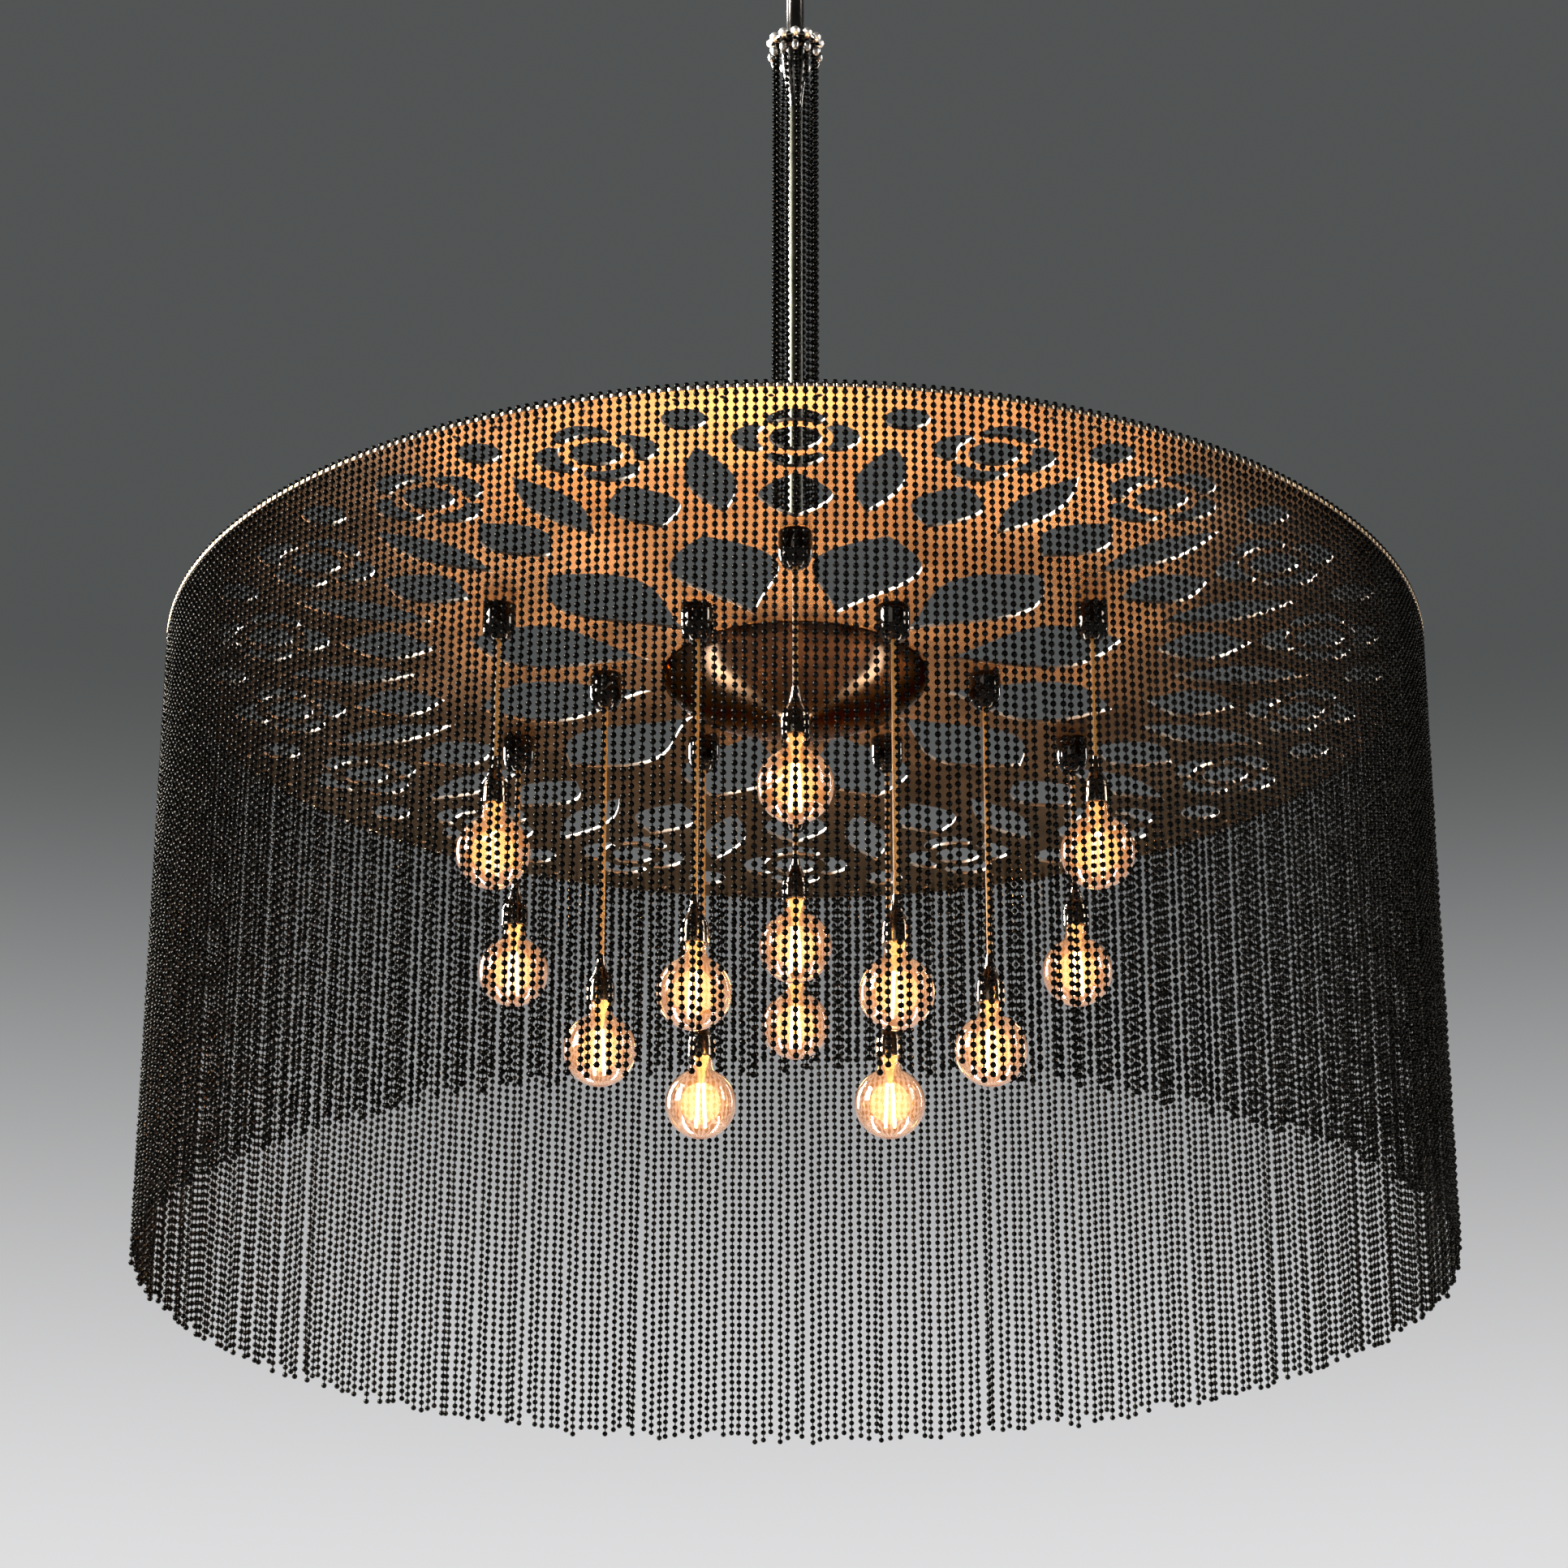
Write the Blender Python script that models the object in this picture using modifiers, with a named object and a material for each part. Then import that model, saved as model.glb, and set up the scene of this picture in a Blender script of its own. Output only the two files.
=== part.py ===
"""Drum chandelier: a pierced round plate on a hanger rod, a curtain of ball chains round its rim,
and thirteen pendants with globe bulbs under it. Metres, +Z up, origin on the ceiling."""
import math

import bmesh
import bpy
from mathutils import Matrix, Vector

# Driving dimensions
drum_radius = 0.500
curtain_length = 0.505
ceiling_to_plate = 0.747
plate_thickness = 0.003
touch_gap = 0.0003
outer_ring_radius = 0.265
inner_ring_radius = 0.152
outer_bulb_drop = 0.205
inner_bulb_drop = 0.318
middle_bulb_drop = 0.233
pendants_per_ring = 6

# Ball-chain curtain. A strand has the mean width of a chain's beads and the links between them.
sector_count = 10
strands_per_sector = 45
strand_sides = 3
strand_radius = 0.00165
rail_thickness = 0.003
rail_bearing = 0.0095
rail_overhang = 0.0035
rail_end_gap = 0.0006
rail_steps = 6
rim_gap = 0.00085

# Openings of the rosette plate. The petals run from the dome's rim to near the outer ring of
# pendants, and their shares are of their length. All the others fill the band between the outer
# ring and the rim. Their places and lengths are shares of that band's width, and the widths of
# the leaves and darts are shares of the room round the plate for each.
plate_sides = 72
pendant_margin = 0.025
rim_margin = 0.024
petal_count = 12
petal_margin = 0.011
petal_tip_margin = 0.022
petal_width_share = 0.56
petal_widest_share = 0.62
rosette_folds = 18
leaf_length_share = 0.414
leaf_width_share = 0.48
dart_inner_share = 0.065
dart_length_share = 0.61
dart_width_share = 0.29
roundel_place_share = 0.711
lobe_offset_share = 0.131
lobe_radius_share = 0.1225
lobe_count = 4
lobe_steps = 4
eyelet_place_share = 0.91
eyelet_radius_share = 0.09
eyelet_sides = 6
leaf_steps = 4

# Ceiling bracket
bar_length = 0.104
bar_width = 0.024
bar_thickness = 0.003
screw_spacing = 0.084
screw_hole_radius = 0.0025
screw_sides = 12
ear_thickness = 0.003
ear_width = 0.018
pin_radius = 0.003
pin_overhang = 0.0015
pin_clearance = 0.0003
pin_drop = 0.020
pin_spacing = 0.020
pin_sides = 12
ear_below_pin = 0.008

# Swivel block
block_width = 0.014
block_margin = 0.007

# Suspension stem with its fork
stem_radius = 0.0075
stem_wall = 0.0020
stem_sides = 14
fork_width = 0.014
fork_foot_radius = 0.0125
fork_foot_drop = 0.0105
fork_foot_thickness = 0.004
wire_hole_radius = 0.003

# Ceiling canopy and its locking collar
canopy_radius = 0.060
canopy_wall = 0.0015
canopy_top = 0.005
canopy_side = 0.035
canopy_depth = 0.057
canopy_shoulder_radius = 0.050
canopy_shoulder_rise = 0.007
canopy_foot_radius = 0.020
canopy_sides = 18
slide_clearance = 0.0005
lock_collar_radius = 0.012
lock_collar_height = 0.010
lock_collar_sides = 12

# Chain collar, its hooked ring and the column of chains
collar_drop = 0.160
collar_thickness = 0.004
collar_radius = 0.0215
collar_notch_radius = 0.0150
collar_bore_clearance = 0.0004
collar_notch_clearance = 0.0010
column_radius = 0.0178
column_strands = 12
ring_inner = 0.0148
ring_outer = 0.0212
ring_height = 0.0035
ring_sides = 18
column_end_gap = 0.0006

# Hanger rod
spigot_radius = 0.0050
spigot_length = 0.0140
rod_bore = 0.0028
cone_radius = 0.0100
cone_middle_radius = 0.0080
cone_length = 0.050
rod_radius = 0.0060
rod_sides = 12

# Hub flange on the plate
hub_boss_radius = 0.0110
hub_boss_height = 0.018
hub_flange_radius = 0.030
hub_flange_thickness = 0.004
hub_stud_radius = 0.006
hub_bore_depth = 0.012
hub_sides = 12

# Wiring on top of the plate
terminal_wall = 0.0145
terminal_height = 0.016
terminal_sides = 18
lead_radius = 0.0025
lead_root = 0.004
lead_sides = 6

# Cord grips under the plate
grip_radius = 0.013
grip_length = 0.029
grip_side = 0.0175
grip_nose_radius = 0.0090
grip_nose_rise = 0.0040
grip_lip_radius = 0.0050
grip_mouth_radius = 0.0042
grip_bore_radius = 0.0028
grip_bore_depth = 0.0055
grip_stud_radius = 0.005
grip_stud_height = 0.007
grip_sides = 10
stud_clearance = 0.0004
stud_hole_sides = 6

# Middle dome
dome_radius = 0.107
dome_wall = 0.0025
dome_side = 0.005
dome_waist_radius = 0.090
dome_waist_drop = 0.018
dome_foot_radius = 0.060
dome_foot_drop = 0.030
dome_neck_radius = 0.0125
dome_neck_drop = 0.0385
dome_depth = 0.060
dome_floor_drop = 0.0330
dome_floor_rise = 0.003
dome_floor_radius = 0.010
dome_sides = 20

# Pendants: flex, lampholder and bulb
flex_radius = 0.0021
flex_top_gap = 0.0007
swing_sides = 10
holder_radius = 0.011
holder_length = 0.040
holder_side = 0.014
holder_waist_radius = 0.0050
holder_waist_rise = 0.028
holder_shoulder_radius = 0.0092
holder_shoulder_rise = 0.019
socket_depth = 0.024
bulb_radius = 0.0285
bulb_neck_radius = 0.0085
bulb_neck_top = 0.038
cap_radius = 0.0068
cap_length = 0.022
socket_clearance = 0.0006
globe_steps = 5

# Turns
quarter_turn = math.pi / 2
half_turn = math.pi
full_turn = math.tau

# Places that follow from the sizes above
plate_top = -ceiling_to_plate
plate_bottom = plate_top - plate_thickness
plate_radius = drum_radius - strand_radius - rim_gap
swing_pin_z = -pin_drop
tilt_pin_z = -pin_drop - pin_spacing
fork_foot_top = tilt_pin_z - fork_foot_drop
stem_bottom = -collar_drop
collar_top = stem_bottom - touch_gap
cone_top = collar_top - collar_thickness - touch_gap
hub_bottom = plate_top + touch_gap
hub_flange_top = hub_bottom + hub_flange_thickness
hub_boss_top = hub_bottom + hub_boss_height
rod_bottom = hub_boss_top - hub_bore_depth + touch_gap
dome_top = plate_bottom - touch_gap
pin_length = block_width + 2 * (touch_gap + ear_thickness + pin_overhang)

# The plate's openings, from its centre outwards
band_inner = outer_ring_radius + pendant_margin
petal_inner = dome_radius + petal_margin
petal_length = band_inner - petal_tip_margin - petal_inner
petal_width = petal_length * petal_width_share
band_width = plate_radius - rim_margin - band_inner
leaf_length = band_width * leaf_length_share
leaf_width = full_turn * (band_inner + leaf_length / 2) / rosette_folds * leaf_width_share
dart_inner = band_inner + band_width * dart_inner_share
dart_length = band_width * dart_length_share
dart_width = full_turn * (dart_inner + dart_length / 2) / rosette_folds * dart_width_share
roundel_ring = band_inner + band_width * roundel_place_share
lobe_offset = band_width * lobe_offset_share
lobe_radius = band_width * lobe_radius_share
eyelet_ring = band_inner + band_width * eyelet_place_share
eyelet_radius = band_width * eyelet_radius_share

smooth_angle = math.radians(40.0)
weld_distance = 0.000005
turn_merge = 0.00001


def make_collection(name):
    """A collection of the scene."""
    collection = bpy.data.collections.new(name)
    bpy.context.scene.collection.children.link(collection)
    return collection


def clear_scene():
    """Removes the objects that a new file starts with."""
    for obj in list(bpy.data.objects):
        bpy.data.objects.remove(obj, do_unlink=True)


clear_scene()
parts = make_collection("drum_chandelier")
cutters = make_collection("drum_chandelier_cutters")


def make_material(name, colour, roughness, metallic, alpha=1.0):
    """A Principled material of one colour."""
    material = bpy.data.materials.new(name)
    material.use_nodes = True
    shader = material.node_tree.nodes["Principled BSDF"]
    shader.inputs["Base Color"].default_value = (*colour, 1.0)
    shader.inputs["Roughness"].default_value = roughness
    shader.inputs["Metallic"].default_value = metallic
    shader.inputs["Alpha"].default_value = alpha
    return material


zinc_steel = make_material("zinc_steel", (0.55, 0.56, 0.57), 0.45, 1.0)
dark_bronze = make_material("dark_bronze", (0.055, 0.048, 0.042), 0.22, 1.0)
gunmetal = make_material("gunmetal_chain", (0.06, 0.055, 0.05), 0.30, 1.0)
polished_plate = make_material("polished_plate", (0.36, 0.29, 0.24), 0.16, 1.0)
black_nickel = make_material("black_nickel", (0.10, 0.09, 0.085), 0.12, 1.0)
olive_rod = make_material("olive_rod", (0.20, 0.19, 0.15), 0.40, 1.0)
wired_bronze = make_material("wired_bronze", (0.16, 0.11, 0.06), 0.40, 0.5)
black_wiring = make_material("black_wiring", (0.04, 0.04, 0.04), 0.60, 0.0)
clear_glass = make_material("clear_glass", (1.0, 0.86, 0.62), 0.03, 0.0, 0.35)


def origin_of(obj):
    """Where an object's origin lies in the part's frame."""
    place = Vector()
    while obj:
        place += obj.location
        obj = obj.parent
    return place


def add_part(name, mesh, material, parent=None, place=(0.0, 0.0, 0.0), turn=0.0):
    """A named sub-part with its origin at a place of the part's frame."""
    obj = bpy.data.objects.new(name, mesh)
    parts.objects.link(obj)
    if not mesh.materials:
        mesh.materials.append(material)
    obj.parent = parent
    obj.location = Vector(place) - origin_of(parent)
    obj.rotation_euler = (0.0, 0.0, turn)
    return obj


def add_cutter(name, data, parent=None):
    """A hidden helper that a modifier reads, in its parent's frame."""
    obj = bpy.data.objects.new(name, data)
    cutters.objects.link(obj)
    obj.parent = parent
    obj.hide_render = True
    obj.display_type = "WIRE"
    return obj


def combine(target, operation, helper):
    """Joins or cuts the target with a helper by an exact Boolean."""
    boolean = target.modifiers.new(helper.name, "BOOLEAN")
    boolean.operation = operation
    boolean.solver = "EXACT"
    boolean.object = helper


def baked_mesh(obj, name):
    """The mesh that an object's modifiers or curve give, with its seams welded."""
    bpy.context.view_layer.update()
    depsgraph = bpy.context.evaluated_depsgraph_get()
    mesh = bpy.data.meshes.new_from_object(obj.evaluated_get(depsgraph), depsgraph=depsgraph)
    mesh.name = name
    work = bmesh.new()
    work.from_mesh(mesh)
    bmesh.ops.remove_doubles(work, verts=work.verts, dist=weld_distance)
    bmesh.ops.recalc_face_normals(work, faces=work.faces)
    work.to_mesh(mesh)
    work.free()
    bpy.data.objects.remove(obj, do_unlink=True)
    return mesh


def smooth(mesh):
    """Shades a round mesh smooth, with its real edges sharp."""
    mesh.shade_smooth()
    mesh.set_sharp_from_angle(angle=smooth_angle)
    return mesh


def turned_mesh(name, points, sides, closed=False):
    """A half section, as points (radius, height), turned round the Z axis."""
    section = bpy.data.meshes.new(name + "_section")
    edges = [(i, i + 1) for i in range(len(points) - 1)]
    if closed:
        edges.append((len(points) - 1, 0))
    section.from_pydata([(radius, 0.0, height) for radius, height in points], edges, [])
    turned = add_cutter(name + "_section", section)
    screw = turned.modifiers.new("turned", "SCREW")
    screw.steps = sides
    screw.render_steps = sides
    screw.use_merge_vertices = True
    screw.merge_threshold = turn_merge
    return smooth(baked_mesh(turned, name))


def flat_mesh(name, outlines, thickness, base=0.0):
    """A flat piece from its edge and its holes, as outlines in the XY plane, on a base height."""
    curve = bpy.data.curves.new(name + "_outline", "CURVE")
    curve.dimensions = "2D"
    curve.fill_mode = "BOTH"
    curve.extrude = thickness / 2
    for outline in outlines:
        spline = curve.splines.new("POLY")
        spline.points.add(len(outline) - 1)
        for point, (x, y) in zip(spline.points, outline):
            point.co = (x, y, 0.0, 1.0)
        spline.use_cyclic_u = True
    mesh = baked_mesh(add_cutter(name + "_outline", curve), name)
    mesh.transform(Matrix.Translation((0.0, 0.0, base + thickness / 2)))
    return mesh


def boxes_mesh(name, size, centres):
    """Boxes of one size about their centres."""
    mesh = bpy.data.meshes.new(name)
    work = bmesh.new()
    for centre in centres:
        matrix = Matrix.LocRotScale(Vector(centre), None, Vector(size))
        bmesh.ops.create_cube(work, size=1.0, matrix=matrix)
    work.to_mesh(mesh)
    work.free()
    return mesh


def rods_mesh(name, radius, length, sides, matrices):
    """Rods of one size, each along the Z axis of its matrix and centred there."""
    mesh = bpy.data.meshes.new(name)
    work = bmesh.new()
    for matrix in matrices:
        bmesh.ops.create_cone(
            work,
            cap_ends=True,
            segments=sides,
            radius1=radius,
            radius2=radius,
            depth=length,
            matrix=matrix,
        )
    work.to_mesh(mesh)
    work.free()
    return mesh


along_x = Matrix.Rotation(math.radians(90.0), 4, "Y")
along_y = Matrix.Rotation(math.radians(90.0), 4, "X")


def outside(radius, sides):
    """The corner radius of a bore of so many sides that clears a round radius."""
    return radius / math.cos(math.pi / sides)


def on_circle(radius, angle):
    """A point on a circle about the Z axis. Angle 0 is the front, at -Y."""
    return radius * math.sin(angle), -radius * math.cos(angle)


def turned_points(points, angle):
    """Points (outwards, across) of a shape at the front, turned to an angle round the plate."""
    cos, sin = math.cos(angle), math.sin(angle)
    return [(out * sin + across * cos, -out * cos + across * sin) for out, across in points]


def circle_outline(radius, count, ring=0.0, angle=0.0):
    """A round outline whose centre lies on a ring of the plate."""
    steps = [full_turn * i / count for i in range(count)]
    points = [(ring + radius * math.cos(step), radius * math.sin(step)) for step in steps]
    return turned_points(points, angle)


def leaf_outline(inner, length, width, angle, widest_share=0.5):
    """A radial leaf with a point at each end, widest at a share of its length."""
    power = math.log(0.5) / math.log(widest_share)
    shares = [i / leaf_steps for i in range(leaf_steps + 1)]
    halves = [math.sin(math.pi * share**power) * width / 2 for share in shares]
    side = [(inner + length * share, half) for share, half in zip(shares, halves)]
    side[0] = (inner, 0.0)
    side[-1] = (inner + length, 0.0)
    return turned_points(side + [(out, -half) for out, half in reversed(side[1:-1])], angle)


def quatrefoil_outline(ring, angle):
    """Four round lobes that meet in cusps, about a point on a ring of the plate."""
    lobe_turn = full_turn / lobe_count
    points = []
    for lobe in range(lobe_count):
        for step in range(lobe_steps):
            off = lobe_turn * (step / lobe_steps - 0.5)
            reach = lobe_offset * math.cos(off)
            reach += math.sqrt(lobe_radius**2 - (lobe_offset * math.sin(off)) ** 2)
            around = lobe_turn * lobe + off
            points.append((ring + reach * math.cos(around), reach * math.sin(around)))
    return turned_points(points, angle)


def ring_angles(count, offset_share=0.0):
    """Even angles round the plate, moved on by a share of their spacing."""
    return [full_turn * (i + offset_share) / count for i in range(count)]


# Angles of the two rings of pendants, which lie half a spacing apart
outer_angles = ring_angles(pendants_per_ring)
inner_angles = ring_angles(pendants_per_ring, 0.5)


def make_ceiling_bracket():
    """A crossbar with two ears that hold the swing pin, and two screw holes."""
    bar_size = (bar_length, bar_width, bar_thickness)
    bar = boxes_mesh("bracket_bar", bar_size, [(0.0, 0.0, -bar_thickness / 2)])
    bracket = add_part("ceiling_bracket", bar, zinc_steel)
    ear_foot = swing_pin_z - ear_below_pin
    ear_height = -bar_thickness / 2 - ear_foot
    ear_x = block_width / 2 + touch_gap + ear_thickness / 2
    ear_z = ear_foot + ear_height / 2
    ears = boxes_mesh(
        "bracket_ears",
        (ear_thickness, ear_width, ear_height),
        [(-ear_x, 0.0, ear_z), (ear_x, 0.0, ear_z)],
    )
    combine(bracket, "UNION", add_cutter("bracket_ears", ears, bracket))
    pin_place = Matrix.Translation((0.0, 0.0, swing_pin_z)) @ along_x
    pin = rods_mesh("swing_pin", pin_radius, pin_length, pin_sides, [pin_place])
    combine(bracket, "UNION", add_cutter("swing_pin", pin, bracket))
    places = [Matrix.Translation((side * screw_spacing / 2, 0.0, 0.0)) for side in (-1, 1)]
    drills = rods_mesh("screw_drills", screw_hole_radius, bar_width, screw_sides, places)
    combine(bracket, "DIFFERENCE", add_cutter("screw_drills", drills, bracket))
    return bracket


def make_swivel_block(bracket):
    """A block bored for the swing pin along X, and below it for the stem's tilt pin along Y."""
    height = pin_spacing + 2 * block_margin
    block_mesh = boxes_mesh(
        "swivel_block", (block_width, block_width, height), [(0.0, 0.0, -pin_spacing / 2)]
    )
    block = add_part("swivel_block", block_mesh, zinc_steel, bracket, (0.0, 0.0, swing_pin_z))
    bore_radius = outside(pin_radius + pin_clearance, pin_sides)
    swing_bore = rods_mesh("swing_bore", bore_radius, pin_length, pin_sides, [along_x])
    combine(block, "DIFFERENCE", add_cutter("swing_bore", swing_bore, block))
    tilt_place = Matrix.Translation((0.0, 0.0, -pin_spacing)) @ along_y
    tilt_bore = rods_mesh("tilt_bore", bore_radius, pin_length, pin_sides, [tilt_place])
    combine(block, "DIFFERENCE", add_cutter("tilt_bore", tilt_bore, block))
    return block


def make_stem(block):
    """The tube that hangs from the block by a fork, a pin and a foot with a hole for the wires."""
    foot_top = fork_foot_top - tilt_pin_z
    foot_bottom = foot_top - fork_foot_thickness
    end = stem_bottom - tilt_pin_z
    tube = turned_mesh(
        "stem_tube",
        [
            (fork_foot_radius, foot_top),
            (fork_foot_radius, foot_bottom),
            (stem_radius, foot_bottom),
            (stem_radius, end),
            (stem_radius - stem_wall, end),
            (stem_radius - stem_wall, foot_bottom),
            (wire_hole_radius, foot_bottom),
            (wire_hole_radius, foot_top),
        ],
        stem_sides,
        closed=True,
    )
    stem = add_part("suspension_stem", tube, dark_bronze, block, (0.0, 0.0, tilt_pin_z))
    ear_y = block_width / 2 + touch_gap + ear_thickness / 2
    ear_foot = foot_top - fork_foot_thickness / 2
    ear_height = ear_below_pin - ear_foot
    ear_z = ear_foot + ear_height / 2
    ears = boxes_mesh(
        "stem_ears",
        (fork_width, ear_thickness, ear_height),
        [(0.0, -ear_y, ear_z), (0.0, ear_y, ear_z)],
    )
    combine(stem, "UNION", add_cutter("stem_ears", ears, stem))
    pin = rods_mesh("tilt_pin", pin_radius, pin_length, pin_sides, [along_y])
    combine(stem, "UNION", add_cutter("tilt_pin", pin, stem))
    return stem


def make_canopy(stem):
    """The cover of the bracket, open upwards, and the collar that locks it on the stem."""
    hole = outside(stem_radius + slide_clearance, canopy_sides)
    shoulder = -canopy_depth + canopy_shoulder_rise
    canopy_mesh = turned_mesh(
        "ceiling_canopy",
        [
            (canopy_radius, 0.0),
            (canopy_radius, -canopy_side),
            (canopy_shoulder_radius, shoulder),
            (canopy_foot_radius, -canopy_depth),
            (hole, -canopy_depth),
            (hole, -canopy_depth + canopy_wall),
            (canopy_foot_radius, -canopy_depth + canopy_wall),
            (canopy_shoulder_radius - canopy_wall / 2, shoulder + canopy_wall),
            (canopy_radius - canopy_wall, -canopy_side + canopy_wall / 2),
            (canopy_radius - canopy_wall, 0.0),
        ],
        canopy_sides,
        closed=True,
    )
    canopy = add_part("ceiling_canopy", canopy_mesh, dark_bronze, stem, (0.0, 0.0, -canopy_top))
    collar_bore = outside(stem_radius + slide_clearance, lock_collar_sides)
    collar_mesh = turned_mesh(
        "canopy_collar",
        [
            (lock_collar_radius, 0.0),
            (lock_collar_radius, -lock_collar_height),
            (collar_bore, -lock_collar_height),
            (collar_bore, 0.0),
        ],
        lock_collar_sides,
        closed=True,
    )
    collar_place = (0.0, 0.0, -canopy_top - canopy_depth - touch_gap)
    add_part("canopy_collar", collar_mesh, dark_bronze, canopy, collar_place)


def make_hanger_rod(stem):
    """A spigot in the stem, a cone that carries the chain collar, and a thin tube to the hub."""
    bottom = rod_bottom - cone_top
    rod_mesh = turned_mesh(
        "hanger_rod",
        [
            (spigot_radius, spigot_length),
            (spigot_radius, 0.0),
            (cone_radius, 0.0),
            (cone_middle_radius, -cone_length / 2),
            (rod_radius, -cone_length),
            (rod_radius, bottom),
            (rod_bore, bottom),
            (rod_bore, spigot_length),
        ],
        rod_sides,
        closed=True,
    )
    return add_part("hanger_rod", rod_mesh, olive_rod, stem, (0.0, 0.0, cone_top))


def make_chain_collar(rod):
    """The notched disc on the cone, which the column's chains hook over."""
    notch_half = strand_radius + collar_notch_clearance
    edge = []
    for angle in ring_angles(column_strands):
        notch = [
            (collar_radius, -notch_half),
            (collar_notch_radius, -notch_half),
            (collar_notch_radius, notch_half),
            (collar_radius, notch_half),
        ]
        edge += turned_points(notch, angle)
    bore = circle_outline(outside(spigot_radius + collar_bore_clearance, rod_sides), rod_sides)
    disc = flat_mesh("chain_collar", [edge, bore], collar_thickness)
    place = (0.0, 0.0, collar_top - collar_thickness)
    return add_part("chain_collar", disc, dark_bronze, rod, place)


def strand_matrix(radius, angle, middle):
    """Stands a strand on a circle, with one of its corners outwards."""
    x, y = on_circle(radius, angle)
    return Matrix.Translation((x, y, middle)) @ Matrix.Rotation(angle + half_turn, 4, "Z")


def strands_on(base, name, radius, angles, top, bottom):
    """A base mesh with strands fused into it, from a top inside it down to their ends."""
    matrices = [strand_matrix(radius, angle, (top + bottom) / 2) for angle in angles]
    strands = rods_mesh(name + "_strands", strand_radius, top - bottom, strand_sides, matrices)
    joined = add_cutter(name, base)
    helper = add_cutter(name + "_strands", strands)
    combine(joined, "UNION", helper)
    mesh = baked_mesh(joined, name)
    bpy.data.objects.remove(helper, do_unlink=True)
    return mesh


def make_column(collar):
    """A ring of hooked beads over the collar's notches, with the chains that hang from it."""
    base = turned_mesh(
        "column_ring",
        [
            (ring_outer, ring_height),
            (ring_outer, 0.0),
            (ring_inner, 0.0),
            (ring_inner, ring_height),
        ],
        ring_sides,
        closed=True,
    )
    bottom = hub_flange_top + column_end_gap - (collar_top + touch_gap)
    angles = ring_angles(column_strands)
    mesh = strands_on(base, "column_chains", column_radius, angles, ring_height / 2, bottom)
    add_part("column_chains", mesh, gunmetal, collar, (0.0, 0.0, collar_top + touch_gap))


def make_hub_flange(rod):
    """The boss that the rod screws into, its flange on the plate, and the stud through it."""
    boss_top = hub_boss_height
    bore = outside(rod_radius + touch_gap, hub_sides)
    stud_end = dome_top - dome_floor_drop + touch_gap - hub_bottom
    hub = turned_mesh(
        "hub_flange",
        [
            (0.0, boss_top - hub_bore_depth),
            (bore, boss_top - hub_bore_depth),
            (bore, boss_top),
            (hub_boss_radius, boss_top),
            (hub_boss_radius, hub_flange_thickness),
            (hub_flange_radius, hub_flange_thickness),
            (hub_flange_radius, 0.0),
            (hub_stud_radius, 0.0),
            (hub_stud_radius, stud_end),
            (0.0, stud_end),
        ],
        hub_sides,
    )
    return add_part("hub_flange", hub, dark_bronze, rod, (0.0, 0.0, hub_bottom))


def plate_holes():
    """Every opening of the plate, from its centre outwards."""
    holes = [circle_outline(outside(hub_stud_radius + stud_clearance, hub_sides), hub_sides)]
    stud_hole = outside(grip_stud_radius + stud_clearance, stud_hole_sides)
    for angle in inner_angles:
        holes.append(circle_outline(stud_hole, stud_hole_sides, inner_ring_radius, angle))
    for angle in outer_angles:
        holes.append(circle_outline(stud_hole, stud_hole_sides, outer_ring_radius, angle))
    for angle in ring_angles(petal_count, 0.5):
        holes.append(
            leaf_outline(petal_inner, petal_length, petal_width, angle, petal_widest_share)
        )
    for angle in ring_angles(rosette_folds):
        holes.append(leaf_outline(band_inner, leaf_length, leaf_width, angle))
        holes.append(quatrefoil_outline(roundel_ring, angle))
    for angle in ring_angles(rosette_folds, 0.5):
        holes.append(leaf_outline(dart_inner, dart_length, dart_width, angle))
        holes.append(circle_outline(eyelet_radius, eyelet_sides, eyelet_ring, angle))
    return holes


def make_plate(hub):
    """The pierced plate, the top of the drum."""
    edge = circle_outline(plate_radius, plate_sides)
    mesh = flat_mesh("rosette_plate", [edge] + plate_holes(), plate_thickness)
    return add_part("rosette_plate", mesh, polished_plate, hub, (0.0, 0.0, plate_bottom))


def lead_matrix(start, end, angle):
    """Lays a lead on the plate along a radius."""
    x, y = on_circle((start + end) / 2, angle)
    return Matrix.Translation((x, y, lead_radius)) @ Matrix.Rotation(angle, 4, "Z") @ along_y


def make_wiring(plate):
    """The terminal ring round the hub flange, with a lead along the plate to each cord grip."""
    inner = outside(hub_flange_radius + touch_gap, terminal_sides)
    outer = inner + terminal_wall
    ring = turned_mesh(
        "terminal_ring",
        [(outer, terminal_height), (outer, 0.0), (inner, 0.0), (inner, terminal_height)],
        terminal_sides,
        closed=True,
    )
    wiring = add_part("wiring_harness", ring, black_wiring, plate, (0.0, 0.0, hub_bottom))
    start = outer - lead_root
    rings = (("outer", outer_ring_radius, outer_angles), ("inner", inner_ring_radius, inner_angles))
    for name, radius, angles in rings:
        end = radius - grip_stud_radius - touch_gap
        matrices = [lead_matrix(start, end, angle) for angle in angles]
        leads = rods_mesh(name + "_leads", lead_radius, end - start, lead_sides, matrices)
        combine(wiring, "UNION", add_cutter(name + "_leads", leads, wiring))


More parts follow.
